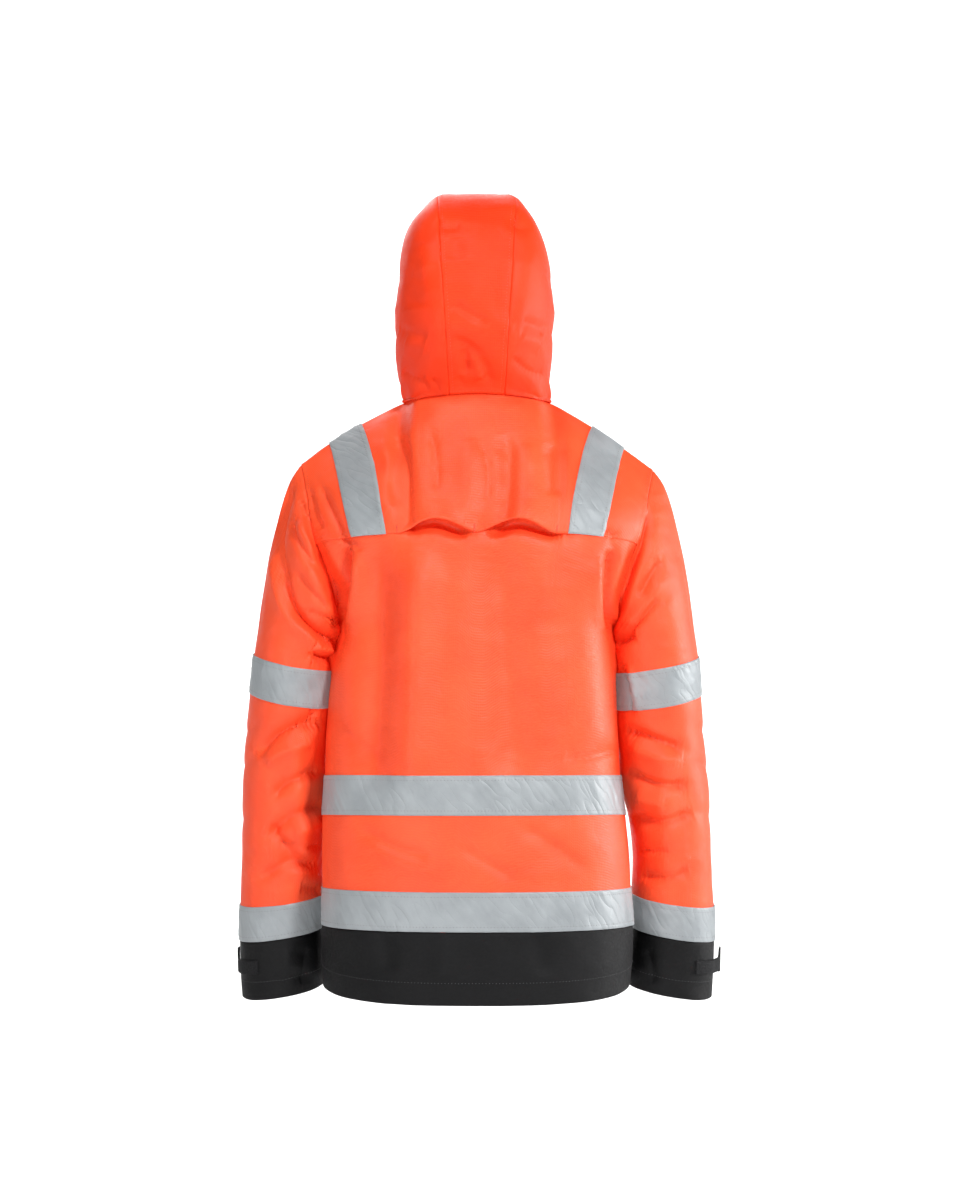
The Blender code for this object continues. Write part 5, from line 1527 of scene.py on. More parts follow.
def hood_edges(name, panel):
    """How far the hood's cloth reaches out and in: its lower edge is rolled and its face edge hemmed."""
    lower = edge_distance(panel, "bottom")
    if name == "hood_right":
        lower = np.minimum(lower, edge_distance(panel, "first"))
    if name == "hood_left":
        lower = np.minimum(lower, edge_distance(panel, "last"))
    rolled = smooth((HOOD_ROLL_WIDTH - lower) / HEM_STEP + 0.5)
    hemmed = smooth((FACE_HEM_WIDTH - edge_distance(panel, "top")) / HEM_STEP + 0.5)
    sizes = cloth_sizes()
    inner = (sizes.shell_wall + sizes.hem_extra * hemmed * (1 - rolled)) / MM
    groove = np.exp(-(((lower - HOOD_ROLL_WIDTH - HOOD_GROOVE_OUT) / HOOD_GROOVE_WIDTH) ** 2))
    return inner, HOOD_ROLL * rolled - HOOD_GROOVE * groove


def tab_panel(half, side, stand):
    """A cuff tab: a strap along the cuff whose free end is taller and stands off."""
    sleeve = pattern()[f"sleeve_{side}"]
    rows = slice(ring_row("tab_top"), ring_row("tab_bottom") + 1)
    stations = np.arange(TAB_FROM, TAB_TO + 1)
    columns = sleeve_order(half, sleeve.points.shape[1])[stations]
    lift = stand * smooth((stations / SCYE_STEPS + 1) / 2)
    wide = smooth(stations / TAB_WIDENS_OVER)
    if half < 0:
        columns, lift, wide = columns[::-1], lift[::-1], wide[::-1]
    panel = sleeve.cut(rows, columns)
    panel.points = panel.points + panel.outward * lift[None, :, None]
    down = np.linspace(0, 1, len(panel.points))[:, None]
    panel.points[..., 2] += TAB_LIFT + wide[None, :] * (TAB_END_RISE * (1 - down) - TAB_END_DROP * down)
    return panel


def tape_lines():
    """Two rows along every tape, a little in from its edges."""
    lines = []
    for name, _, panel in tape_panels():
        edges = ("first", "last") if name.startswith("shoulder") else ("top", "bottom")
        lines += [inset_line(panel, edge, TAPE_STITCH_INSET) for edge in edges]
    return lines


def seam_lines():
    """Topstitching of the armholes, the yoke, the hood, the collar, the zip and the elbow darts."""
    panels, hood = pattern(), hood_pieces()
    yoke, under = yoke_piece(), slice(body_row("yoke"), body_row("underarm") + 1)
    low = body_row("low_tape_bottom")
    lines = [inset_line(yoke, edge, SEAM_STITCH_INSET) for edge in ("first", "last")]
    back = body_piece("back", 0, low)
    lines += [inset_line(back, edge, SEAM_STITCH_INSET, under) for edge in ("first", "last")]
    lines.append(inset_line(yoke, "bottom", YOKE_STITCH_INSET))
    for side, armhole, centre in (("left", "first", "last"), ("right", "last", "first")):
        front = body_piece(side, 0, low)
        lines.append(inset_line(front, armhole, SEAM_STITCH_INSET, slice(0, body_row("underarm") + 1)))
        lines.append(inset_line(front, centre, SEAM_STITCH_INSET))
    lines += [inset_line(hood["hood_centre"], edge, HOOD_STITCH_INSET) for edge in ("first", "last")]
    lines += [inset_line(panel, "top", FACE_HEM_INSET) for panel in hood.values()]
    for name, edge in (("hood_centre", "bottom"), ("hood_right", "first"), ("hood_left", "last")):
        over = np.full(hood[name].points.shape[:2], HOOD_ROLL * 0.5)
        lines.append(inset_line(raised(hood[name], over), edge, HOOD_HEM_INSET))
    lines.append(inset_line(panels["collar"], "top", SEAM_STITCH_INSET))
    lines += [on_cloth(panels[f"sleeve_{side}"], "back", path) for side, path in DARTS]
    return lines


def hem_lines():
    """The rows that hold the black hem and the cuffs."""
    panels = pattern()
    lines = [inset_line(panels[name], "bottom", HEM_STITCH_INSET) for name in ("back", "left", "right")]
    lines += [inset_line(panels[f"sleeve_{side}"], "bottom", CUFF_STITCH_INSET) for side in ("left", "right")]
    return lines


def bartack_lines():
    """Short dense rows across the yoke's edge, where it is tacked to the back."""
    yoke = yoke_piece()
    lines = []
    for x in BARTACKS:
        column = int(np.abs(yoke.points[-1, :, 0] - x).argmin())
        line = yoke.points[-4:, column] + yoke.outward[-4:, column] * BARTACK_LIFT
        stops = np.linspace(0, BARTACK_HEIGHT, BARTACK_POINTS)
        lines.append((at_lengths(line, stops), yoke.outward[-BARTACK_POINTS:, column]))
    return lines


# ---- Stage ----

SOFT_BOXES = (
    # name, place, aim, size, power
    ("key_box", (-1.75, 2.95, 1.3), (0.0, 0.0, -0.5), 0.5, 114.0),
    ("right_box", (-3.0, -0.5, -0.1), (0.0, 0.0, -0.4), 1.2, 86.0),
    ("left_box", (3.0, 0.0, -0.3), (0.0, 0.0, -0.4), 1.0, 10.0),
    ("low_box", (1.4, 2.9, -0.7), (0.1, 0.0, -0.7), 1.2, 30.0),
    ("top_box", (0.9, 2.2, 3.3), (0.0, 0.0, -0.4), 0.8, 74.0),
    ("front_box", (0.8, -3.2, 1.8), (0.0, 0.0, -0.2), 2.2, 90.0),
    ("backdrop_box", (0.0, -3.4, 2.6), (0.0, -8.0, 0.0), 4.0, 420.0),
)
WORLD_LIGHT = 0.03
CAMERA_X = -0.0038
CAMERA_Z = EYE_HEIGHT * MM
FRAME_HEIGHT = 1.524
SENSOR = 36.0
FLOOR_Z = -1.5
FLOOR_SIZE = 30.0
BACKDROP_Y = -8.0
BACKDROP_HEIGHT = 12.0
BACKDROP_TURN = 3.0
BACKDROP_STEPS = 12


def add_camera(distance):
    """A level camera straight behind the jacket, whose frame is as tall as FRAME_HEIGHT where it hangs."""
    data = bpy.data.cameras.new("camera")
    data.sensor_fit = "VERTICAL"
    data.sensor_height = SENSOR
    data.lens = SENSOR * distance / FRAME_HEIGHT
    camera = bpy.data.objects.new("camera", data)
    camera.location = (CAMERA_X, distance, CAMERA_Z)
    camera.rotation_euler = (math.radians(90), 0, math.radians(180))
    bpy.context.scene.collection.objects.link(camera)
    bpy.context.scene.camera = camera


def add_backdrop(colour):
    """A pale floor that runs up into a plain wall."""
    half, turn = FLOOR_SIZE / 2, BACKDROP_TURN
    profile = [(half, FLOOR_Z), (BACKDROP_Y + turn, FLOOR_Z)]
    for k in range(1, BACKDROP_STEPS + 1):
        angle = math.radians(90 * k / BACKDROP_STEPS)
        back, up = turn * (1 - math.sin(angle)), turn * (1 - math.cos(angle))
        profile.append((BACKDROP_Y + back, FLOOR_Z + up))
    profile.append((BACKDROP_Y, FLOOR_Z + BACKDROP_HEIGHT))
    points = np.array([(x, y, z) for y, z in profile for x in (-half, half)])
    rows = np.arange(len(profile) - 1)[:, None] * 2
    floor = mesh_object("floor", points, rows + np.array([[0, 1, 3, 2]]))
    made, tree = new_material("painted_floor")
    shader = node(tree, "ShaderNodeBsdfPrincipled", {"Base Color": tuple(colour), "Roughness": 0.9})
    node(tree, "ShaderNodeOutputMaterial", {"Surface": shader})
    floor.data.materials.append(made)
    floor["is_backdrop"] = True


def add_soft_box(name, place, aim, size, power):
    """A square area light that faces a point."""
    data = bpy.data.lights.new(name, "AREA")
    data.shape = "SQUARE"
    data.size = size
    data.energy = power
    light = bpy.data.objects.new(name, data)
    light.location = place
    light.rotation_euler = (Vector(aim) - Vector(place)).to_track_quat("-Z", "Y").to_euler()
    bpy.context.scene.collection.objects.link(light)


# ---- Finishes ----


def linear(colour):
    """An sRGB hex colour as linear RGBA."""
    parts = [int(colour[k : k + 2], 16) / 255 for k in (1, 3, 5)]
    return [p / 12.92 if p <= 0.04045 else ((p + 0.055) / 1.055) ** 2.4 for p in parts] + [1.0]


def node(tree, kind, inputs=None, output=0, **settings):
    """Adds a node with its settings, its inputs as values or links, and gives one of its outputs."""
    made = tree.nodes.new(kind)
    for name, value in settings.items():
        setattr(made, name, value)
    for name, value in (inputs or {}).items():
        if isinstance(value, bpy.types.NodeSocket):
            tree.links.new(value, made.inputs[name])
        else:
            made.inputs[name].default_value = value
    return made.outputs[output] if made.outputs else None


def new_material(name):
    """A material with an empty tree, and its tree."""
    made = bpy.data.materials.new(name)
    made.use_nodes = True
    made.node_tree.nodes.clear()
    return made, made.node_tree


def finish_shader(tree, inputs, bump_height, bump_distance):
    """The surface shader with its bump, linked to the output."""
    bump = node(tree, "ShaderNodeBump", {"Strength": 1.0, "Distance": bump_distance, "Height": bump_height})
    shader = node(tree, "ShaderNodeBsdfPrincipled", {**inputs, "Normal": bump})
    node(tree, "ShaderNodeOutputMaterial", {"Surface": shader})


def creased(tree, swells):
    """Soft swells folded about their middle, which turns them into creases with sharp lines."""
    centred = node(tree, "ShaderNodeMath", {0: swells, 1: 0.5}, operation="SUBTRACT")
    folded = node(tree, "ShaderNodeMath", {0: centred}, operation="ABSOLUTE")
    return node(tree, "ShaderNodeMath", {0: folded, 1: 0.6}, operation="POWER")


def laid_over(tree, *layers):
    """Patterns laid over each other, each as strong as its weight."""
    total = 0.0
    for pattern_height, weight in layers:
        total = node(
            tree, "ShaderNodeMath", {0: pattern_height, 1: weight, 2: total}, operation="MULTIPLY_ADD"
        )
    return total


# what turns a spacing in metres into the scale of a pattern of even ridges
RIDGES_PER_METRE = 0.314159
# a noise's values lie mostly between these two
NOISE_RANGE = {"From Min": 0.3, "From Max": 0.7}
# A painted glow: a constant red emission, as strong in shade as in light, that stands for the dye's
# fluorescence and keeps creases red.
PAINTED_GLOW_COLOUR = "#FF2A08"


def woven_cloth(name, light, dark, rib, roughness, specular, glow=0.0):
    """Polyester cloth woven plain: fine ribs across it, an even matte face and a soft nap at its edges."""
    made, tree = new_material(name)
    place = node(tree, "ShaderNodeTexCoord", output="Object")
    cloth = node(tree, "ShaderNodeUVMap", uv_map=UV_NAME)
    ribs = node(
        tree, "ShaderNodeTexWave",
        {"Vector": cloth, "Scale": RIDGES_PER_METRE / rib, "Distortion": 0.6, "Detail": 0.0},
        output="Fac", bands_direction="Y",
    )
    ends = node(
        tree, "ShaderNodeTexWave",
        {"Vector": cloth, "Scale": RIDGES_PER_METRE / (rib * 0.8), "Distortion": 0.4, "Detail": 0.0},
        output="Fac", bands_direction="X",
    )
    patches = node(tree, "ShaderNodeTexNoise", {"Vector": place, "Scale": 1 / 0.06, "Detail": 3.0})
    slubs = node(tree, "ShaderNodeTexNoise", {"Vector": cloth, "Scale": 1 / 0.0035, "Detail": 2.0})
    patchy = node(tree, "ShaderNodeMapRange", {"Value": patches, **NOISE_RANGE})
    slubbed = node(tree, "ShaderNodeMapRange", {"Value": slubs, **NOISE_RANGE})
    share = laid_over(tree, (patchy, 0.55), (ribs, 0.2), (slubbed, 0.3))
    colour = node(
        tree, "ShaderNodeMix", {0: share, 6: linear(dark), 7: linear(light)}, output=2, data_type="RGBA"
    )
    swells = node(tree, "ShaderNodeTexNoise", {"Vector": place, "Scale": 1 / 0.05, "Detail": 2.0})
    height = laid_over(tree, (ribs, 0.1), (ends, 0.05), (slubs, 0.12), (creased(tree, swells), 0.7))
    rough = node(
        tree, "ShaderNodeMapRange",
        {"Value": slubs, **NOISE_RANGE, "To Min": roughness - 0.06, "To Max": roughness + 0.06},
    )
    inputs = {
        "Base Color": colour, "Roughness": rough, "Specular IOR Level": specular,
        "Sheen Weight": 0.02, "Sheen Roughness": 0.45, "Sheen Tint": linear(light),
    }
    # the emission is a painted glow, the same in shade as in light
    if glow:
        inputs.update({"Emission Color": linear(PAINTED_GLOW_COLOUR), "Emission Strength": glow})
    finish_shader(tree, inputs, height, 0.0012)
    return made


def hi_vis_shell(name):
    """Fluorescent orange-red polyester, woven and coated inside, with a faint painted red glow that is as
    strong in shade as in light and stands for the dye's fluorescence.
    """
    glow = bpy.context.scene.jacket_finishes.glow
    # ribs really lie 0.6 mm apart and are drawn 3.4 mm apart, so that they show
    return woven_cloth(name, "#F2562C", "#E84520", 0.0034, 0.52, 0.36, glow)


def shaded_hi_vis_shell(name):
    """The same polyester for the hood, its colour painted darker as the shade that falls on the hood, with
    less specular.
    """
    glow = bpy.context.scene.jacket_finishes.glow
    return woven_cloth(name, "#EC4018", "#E23512", 0.0034, 0.52, 0.2, glow)


def black_shell(name):
    """The same coated polyester cloth, dyed black."""
    return woven_cloth(name, "#0D0D0F", "#070708", 0.0016, 0.62, 0.2)


def reflective_tape(name):
    """Glass beads bonded to a cloth strip: smooth silver grey, finely creased, bright facing the light; its
    grey has painted reflection and shade in patches and along the creases, and a faint painted glow.
    """
    made, tree = new_material(name)
    place = node(tree, "ShaderNodeTexCoord", output="Object")
    cloth = node(tree, "ShaderNodeUVMap", uv_map=UV_NAME)
    patches = node(tree, "ShaderNodeTexNoise", {"Vector": place, "Scale": 1 / 0.03, "Detail": 3.0})
    turned = node(
        tree, "ShaderNodeMapping",
        {"Vector": cloth, "Rotation": (0, 0, math.radians(-36)), "Scale": (1, 3.5, 1)},
        vector_type="TEXTURE",
    )
    swells = node(tree, "ShaderNodeTexNoise", {"Vector": turned, "Scale": 1 / 0.016, "Detail": 1.0})
    creases = creased(tree, swells)
    # beads are 0.05 mm wide and are drawn 1.1 mm wide
    beads = node(tree, "ShaderNodeTexNoise", {"Vector": place, "Scale": 1 / 0.0011, "Detail": 1.0})
    # The patches and the creases lighten and darken the grey as painted reflection and shade; the beads are
    # the tape's own grain.
    patchy = node(tree, "ShaderNodeMapRange", {"Value": patches, **NOISE_RANGE})
    painted_crease_shade = node(tree, "ShaderNodeMapRange", {"Value": creases, **NOISE_RANGE})
    share = laid_over(tree, (patchy, 0.5), (painted_crease_shade, 0.35), (beads, 0.15))
    colour = node(
        tree, "ShaderNodeMix", {0: share, 6: linear("#7D8285"), 7: linear("#979C9F")},
        output=2, data_type="RGBA",
    )
    height = laid_over(tree, (creases, 1.5), (beads, 0.1))
    rough = node(
        tree, "ShaderNodeMapRange", {"Value": patches, **NOISE_RANGE, "To Min": 0.42, "To Max": 0.56}
    )
    # The emission is a painted glow of grey light, for the beads' reflection, the same in shade as in light.
    inputs = {
        "Base Color": colour, "Metallic": 0.1, "Roughness": rough, "Specular IOR Level": 0.4,
        "Emission Color": linear("#C4C9CC"), "Emission Strength": 0.13,
    }
    finish_shader(tree, inputs, height, 0.0012)
    return made


def hook_and_loop(name):
    """Nylon hook and loop strip: a dull black pile of tiny hooks with a woven edge."""
    made, tree = new_material(name)
    place = node(tree, "ShaderNodeTexCoord", output="Object")
    # hooks stand 1.2 mm apart and are drawn 2 mm apart
    hooks = node(
        tree, "ShaderNodeTexVoronoi", {"Vector": place, "Scale": 1 / 0.002, "Randomness": 0.6},
        output="Distance",
    )
    colour = node(
        tree, "ShaderNodeMix", {0: hooks, 6: linear("#1C1C1E"), 7: linear("#0C0C0D")},
        output=2, data_type="RGBA",
    )
    inputs = {"Base Color": colour, "Roughness": 0.85, "Specular IOR Level": 0.25}
    finish_shader(tree, inputs, hooks, 0.0008)
    return made


def zip_tape(name):
    """Polyester zip tape: close herringbone ribs along a black strip."""
    made, tree = new_material(name)
    cloth = node(tree, "ShaderNodeUVMap", uv_map=UV_NAME)
    # ribs lie 1 mm apart and are drawn 2.2 mm apart
    ribs = node(
        tree, "ShaderNodeTexWave", {"Vector": cloth, "Scale": RIDGES_PER_METRE / 0.0022, "Detail": 0.0},
        output="Fac", bands_direction="DIAGONAL",
    )
    colour = node(
        tree, "ShaderNodeMix", {0: ribs, 6: linear("#1D1D1F"), 7: linear("#303033")},
        output=2, data_type="RGBA",
    )
    inputs = {"Base Color": colour, "Roughness": 0.8, "Sheen Weight": 0.2, "Sheen Roughness": 0.5}
    finish_shader(tree, inputs, ribs, 0.0003)
    return made


def moulded_teeth(name):
    """Acetal teeth moulded onto the tape: black with a low satin gloss."""
    made, tree = new_material(name)
    place = node(tree, "ShaderNodeTexCoord", output="Object")
    grain = node(tree, "ShaderNodeTexNoise", {"Vector": place, "Scale": 1 / 0.004, "Detail": 3.0})
    colour = node(
        tree, "ShaderNodeMix", {0: grain, 6: linear("#18181A"), 7: linear("#2B2B2E")},
        output=2, data_type="RGBA",
    )
    rough = node(
        tree, "ShaderNodeMapRange", {"Value": grain, **NOISE_RANGE, "To Min": 0.34, "To Max": 0.48}
    )
    finish_shader(tree, {"Base Color": colour, "Roughness": rough, "IOR": 1.48}, grain, 0.0002)
    return made


def enamelled_zinc(name):
    """Die-cast zinc under black enamel: smooth and dark, with the metal's glint where hands rub it."""
    made, tree = new_material(name)
    place = node(tree, "ShaderNodeTexCoord", output="Object")
    peel = node(tree, "ShaderNodeTexNoise", {"Vector": place, "Scale": 1 / 0.0016, "Detail": 2.0})
    edge = node(tree, "ShaderNodeNewGeometry", output="Pointiness")
    worn = node(tree, "ShaderNodeMapRange", {"Value": edge, "From Min": 0.53, "From Max": 0.62})
    colour = node(
        tree, "ShaderNodeMix", {0: worn, 6: linear("#26262A"), 7: linear("#77777C")},
        output=2, data_type="RGBA",
    )
    rough = node(
        tree, "ShaderNodeMapRange", {"Value": peel, **NOISE_RANGE, "To Min": 0.28, "To Max": 0.42}
    )
    inputs = {
        "Base Color": colour, "Metallic": 0.6, "Roughness": rough,
        "Coat Weight": 0.3, "Coat Roughness": 0.2,
    }
    finish_shader(tree, inputs, peel, 0.00012)
    return made


def thread(name, light, dark):
    """Corespun polyester thread: two plies, softly glossy along the twist."""
    made, tree = new_material(name)
    place = node(tree, "ShaderNodeTexCoord", output="Object")
    ply = node(tree, "ShaderNodeTexNoise", {"Vector": place, "Scale": 1 / 0.0012, "Detail": 1.0})
    colour = node(
        tree, "ShaderNodeMix", {0: ply, 6: linear(dark), 7: linear(light)}, output=2, data_type="RGBA"
    )
    rough = node(
        tree, "ShaderNodeMapRange", {"Value": ply, **NOISE_RANGE, "To Min": 0.5, "To Max": 0.66}
    )
    inputs = {"Base Color": colour, "Roughness": rough, "Sheen Weight": 0.2}
    finish_shader(tree, inputs, ply, 0.0002)
    return made


FINISHES = {
    # finish: the record's slot, how it is made, and its colours
    "coated_polyester_hi_vis": ("hi_vis_shell", hi_vis_shell, ()),
    # the hood's shell is painted darker, as the shade that falls on the hood
    "unlined_polyester_hi_vis": ("hi_vis_shell", shaded_hi_vis_shell, ()),
    "coated_polyester_black": ("black_shell", black_shell, ()),
    "glass_bead_reflective": ("reflective_tape", reflective_tape, ()),
    "nylon_hook_and_loop": ("hook_and_loop", hook_and_loop, ()),
    "woven_zip_tape": ("zip_cloth", zip_tape, ()),
    "moulded_acetal_teeth": ("zip_cloth", moulded_teeth, ()),
    "enamelled_die_cast_zinc": ("zip_metal", enamelled_zinc, ()),
    # the orange thread is painted darker red than the cloth, as the shade along the seams' grooves
    "polyester_thread_orange": ("hi_vis_shell", thread, ("#DE441E", "#AE2A0A")),
    "polyester_thread_black": ("black_shell", thread, ("#3C3C40", "#1E1E20")),
    "polyester_thread_grey": ("reflective_tape", thread, ("#8A8784", "#5F5B58")),
}
SHELL, BLACK, TAPE = "coated_polyester_hi_vis", "coated_polyester_black", "glass_bead_reflective"


def finish_material(finish):
    """The finish's material, made the first time that it is asked for."""
    _, make, colours = FINISHES[finish]
    return bpy.data.materials.get(finish) or make(finish, *colours)


# ---- Sizes and colours that a user would change ----


class JacketCloth(bpy.types.PropertyGroup):
    shell_wall: FloatProperty(
        name="Shell cloth", description="Thickness of the coated shell cloth",
        default=0.001, min=0.0006, max=0.0016, precision=4, subtype="DISTANCE", unit="LENGTH",
    )
    hem_extra: FloatProperty(
        name="Folded hem", description="What a folded edge adds to the cloth's thickness",
        default=0.0012, min=0.0, max=0.0014, precision=4, subtype="DISTANCE", unit="LENGTH",
    )
    tape_wall: FloatProperty(
        name="Tape", description="Thickness of the reflective tape",
        default=0.0006, min=0.0004, max=0.001, precision=4, subtype="DISTANCE", unit="LENGTH",
    )
    tape_crinkle: FloatProperty(
        name="Tape crinkle", description="How high the reflective tape's wrinkles stand",
        default=0.0012, min=0.0, max=0.003, precision=4, subtype="DISTANCE", unit="LENGTH",
    )
    stitch_pitch: FloatProperty(
        name="Stitch pitch", description="Distance from one stitch to the next",
        default=0.0042, min=0.002, max=0.006, precision=4, subtype="DISTANCE", unit="LENGTH",
    )
    stitch_length: FloatProperty(
        name="Stitch length", description="Length of one stitch on the face of the cloth",
        default=0.003, min=0.001, max=0.005, precision=4, subtype="DISTANCE", unit="LENGTH",
    )
    stitch_width: FloatProperty(
        name="Thread", description="Width of the sewing thread",
        default=0.0011, min=0.0003, max=0.0015, precision=4, subtype="DISTANCE", unit="LENGTH",
    )


class JacketFinishes(bpy.types.PropertyGroup):
    # Strength of the painted red glow on the hi-vis cloth: an emission that is the same in shade as in light.
    glow: FloatProperty(
        name="Painted glow", description="Light that the hi-vis dye gives back",
        default=0.08, min=0.0, max=0.6, subtype="FACTOR",
    )


class JacketStage(bpy.types.PropertyGroup):
    camera_distance: FloatProperty(
        name="Camera distance", description="From the camera to the middle of the jacket",
        default=4.5, min=1.0, max=12.0, subtype="DISTANCE", unit="LENGTH",
    )
    light: FloatProperty(
        name="Light", description="Strength of the studio's soft boxes", default=1.0, min=0.1, max=4.0,
    )
    floor_colour: FloatVectorProperty(
        name="Floor", description="Colour of the floor", subtype="COLOR", size=4,
        default=(0.9, 0.9, 0.9, 1.0), min=0.0, max=1.0,
    )


# ---- Operators ----


class JACKET_OT_body(bpy.types.Operator):
    """Make the back, its yoke and the two fronts"""

    bl_idname = "jacket.body"
    bl_label = "Back, yoke and fronts"

    def execute(self, context):
        low = body_row("low_tape_bottom")
        add_cloth("back_body", body_piece("back", YOKE_LAP_TO, low), SHELL)
        yoke = yoke_piece()
        add_cloth("back_yoke", yoke, SHELL, wall=hem_wall(yoke, ["bottom"], YOKE_STITCH_INSET))
        for side in ("left", "right"):
            add_cloth(f"front_{side}", body_piece(side, 0, low), SHELL)
        return {"FINISHED"}


class JACKET_OT_hems(bpy.types.Operator):
    """Make the black lower panels of the back and the fronts"""

    bl_idname = "jacket.hems"
    bl_label = "Black lower panels"

    def execute(self, context):
        top, bottom = body_row("low_tape_bottom"), body_row("hem")
        for name, hem, cloth in (
            ("back", "back_hem", "back_body"),
            ("left", "front_hem_left", "front_left"),
            ("right", "front_hem_right", "front_right"),
        ):
            panel = pattern()[name].cut(slice(top, bottom + 1))
            add_cloth(hem, panel, BLACK, wall=hem_wall(panel, ["bottom"], HEM_STITCH_INSET))
        return {"FINISHED"}


class JACKET_OT_collar_and_hood(bpy.types.Operator):
    """Make the stand collar and the three-panel hood"""

    bl_idname = "jacket.collar_and_hood"
    bl_label = "Collar and hood"

    def execute(self, context):
        collar = pattern()["collar"]
        add_cloth("collar", collar, SHELL, wall=hem_wall(collar, ["top"], COLLAR_HEM))
        for name, panel in hood_pieces().items():
            inner, outer = hood_edges(name, panel)
            # the hood's cloth is the shell painted darker with shade
            add_cloth(name, panel, "unlined_polyester_hi_vis", outer=outer, wall=outer + inner)
        return {"FINISHED"}


class JACKET_OT_sleeves(bpy.types.Operator):
    """Make the two-part sleeves and their black cuffs"""

    bl_idname = "jacket.sleeves"
    bl_label = "Sleeves and cuffs"

    def execute(self, context):
        for half, side in SIDES:
            for part, panel in sleeve_pieces(half, side).items():
                add_cloth(f"sleeve_{side}_{part}", panel, SHELL)
            cuff = pattern()[f"sleeve_{side}"].cut(slice(ring_row("cuff_tape_bottom"), None), wrap=True)
            wall = hem_wall(cuff, ["bottom"], CUFF_STITCH_INSET)
            add_cloth(f"cuff_{side}", cuff, BLACK, wall=wall)
        return {"FINISHED"}


class JACKET_OT_tapes(bpy.types.Operator):
    """Make the reflective tapes round the body, over the shoulders and round the sleeves"""

    bl_idname = "jacket.tapes"
    bl_label = "Reflective tapes"

    def execute(self, context):
        for name, cloth, panel in tape_panels():
            add_cloth(name, panel, TAPE, wall=cloth_sizes().tape_wall / MM, held="laid")
        return {"FINISHED"}


class JACKET_OT_cuff_tabs(bpy.types.Operator):
    """Make the cuffs' hook and loop tabs with their wide free ends"""

    bl_idname = "jacket.cuff_tabs"
    bl_label = "Cuff tabs"

    def execute(self, context):
        for half, side, stand in ((1, "left", TAB_STAND_LEFT), (-1, "right", TAB_STAND_RIGHT)):
            panel = tab_panel(half, side, stand)
            obj = add_cloth(
                f"cuff_tab_{side}", panel, "nylon_hook_and_loop",
                outer=LAYER_GAP + TAB_WALL, wall=TAB_WALL, held="laid",
            )
            obj.data.shade_smooth()
        return {"FINISHED"}


class JACKET_OT_zip(bpy.types.Operator):
    """Make the zip's strips and teeth, and finish its slider and pull tab"""

    bl_idname = "jacket.zip"
    bl_label = "Zip"

    def execute(self, context):
        for half, side in SIDES:
            add_cloth(
                f"zip_strip_{side}", zip_strip(half, side), "woven_zip_tape",
                outer=-ZIP_STRIP_DEPTH, wall=ZIP_WALL,
            )
        teeth = zip_teeth()
        teeth.data.shade_flat()
        teeth.data.materials.append(finish_material("moulded_acetal_teeth"))
        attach(teeth, BODY)
        for name in ("zip_slider", "zip_pull"):
            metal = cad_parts[name]
            for slot in metal.material_slots:
                slot.material = finish_material("enamelled_die_cast_zinc")
        return {"FINISHED"}


class JACKET_OT_stitching(bpy.types.Operator):
    """Sew the seams, hems, tapes and bartacks"""

    bl_idname = "jacket.stitching"
    bl_label = "Stitching"

    def execute(self, context):
        sizes = cloth_sizes()
        pitch, length, width = (v / MM for v in (sizes.stitch_pitch, sizes.stitch_length, sizes.stitch_width))
        for name, finish, lines in (
            ("tape_stitches", "polyester_thread_grey", tape_lines()),
            ("seam_stitches", "polyester_thread_orange", seam_lines()),
            ("hem_stitches", "polyester_thread_black", hem_lines()),
        ):
            stitch_mesh(name, lines, finish, pitch, length, width)
        stitch_mesh("bartacks", bartack_lines(), "polyester_thread_orange", width, width * 1.1, 2.4)
        return {"FINISHED"}


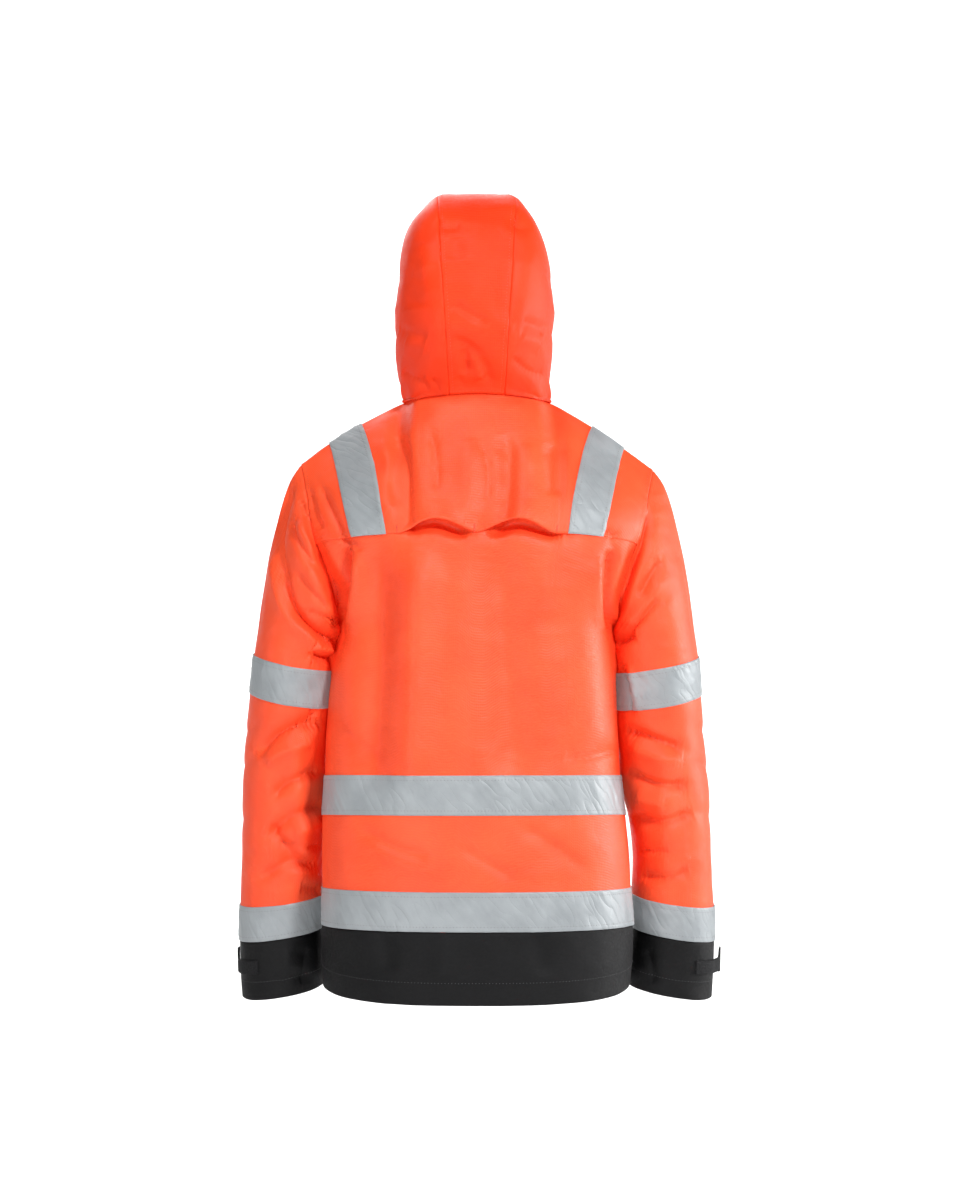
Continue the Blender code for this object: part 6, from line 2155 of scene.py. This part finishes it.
class JACKET_OT_stage(bpy.types.Operator):
    """Set the camera, the pale floor and the soft studio light"""

    bl_idname = "jacket.stage"
    bl_label = "Camera, floor and light"

    def execute(self, context):
        settings = context.scene.jacket_stage
        add_camera(settings.camera_distance)
        add_backdrop(settings.floor_colour)
        for name, place, aim, size, power in SOFT_BOXES:
            add_soft_box(name, place, aim, size, power * settings.light)
        world = bpy.data.worlds.new("studio")
        world.use_nodes = True
        background = world.node_tree.nodes["Background"]
        background.inputs["Color"].default_value = (1.0, 1.0, 1.0, 1.0)
        background.inputs["Strength"].default_value = WORLD_LIGHT
        context.scene.world = world
        context.scene.view_settings.view_transform = "Standard"
        return {"FINISHED"}


OPERATORS = (
    JACKET_OT_stage, JACKET_OT_body, JACKET_OT_hems, JACKET_OT_collar_and_hood, JACKET_OT_sleeves,
    JACKET_OT_tapes, JACKET_OT_cuff_tabs, JACKET_OT_zip, JACKET_OT_stitching,
)


class JACKET_PT_panel(bpy.types.Panel):
    """The jacket's sizes and the operators that make its pieces"""

    bl_idname = "JACKET_PT_panel"
    bl_label = "Hi-vis work jacket"
    bl_space_type = "VIEW_3D"
    bl_region_type = "UI"
    bl_category = "Jacket"

    def draw(self, context):
        for group in (context.scene.jacket_cloth, context.scene.jacket_finishes, context.scene.jacket_stage):
            box = self.layout.box()
            for name in group.bl_rna.properties.keys():
                if name not in ("rna_type", "name"):
                    box.prop(group, name)
        for operator in OPERATORS:
            self.layout.operator(operator.bl_idname)


GROUPS = {"jacket_cloth": JacketCloth, "jacket_finishes": JacketFinishes, "jacket_stage": JacketStage}


def register():
    for group in GROUPS.values():
        bpy.utils.register_class(group)
    for operator in OPERATORS:
        bpy.utils.register_class(operator)
    bpy.utils.register_class(JACKET_PT_panel)
    for name, group in GROUPS.items():
        setattr(bpy.types.Scene, name, PointerProperty(type=group))


def unregister():
    for name in GROUPS:
        delattr(bpy.types.Scene, name)
    bpy.utils.unregister_class(JACKET_PT_panel)
    for operator in reversed(OPERATORS):
        bpy.utils.unregister_class(operator)
    for group in GROUPS.values():
        bpy.utils.unregister_class(group)


def main():
    register()
    for operator in OPERATORS:
        group, name = operator.bl_idname.split(".")
        getattr(getattr(bpy.ops, group), name)()
    boxes = {"cad": CAD_BOX, "visual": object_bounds()}
    boxes = {key: [list(map(float, corner)) for corner in box] for key, box in boxes.items()}


if __name__ == "__main__":
    main()
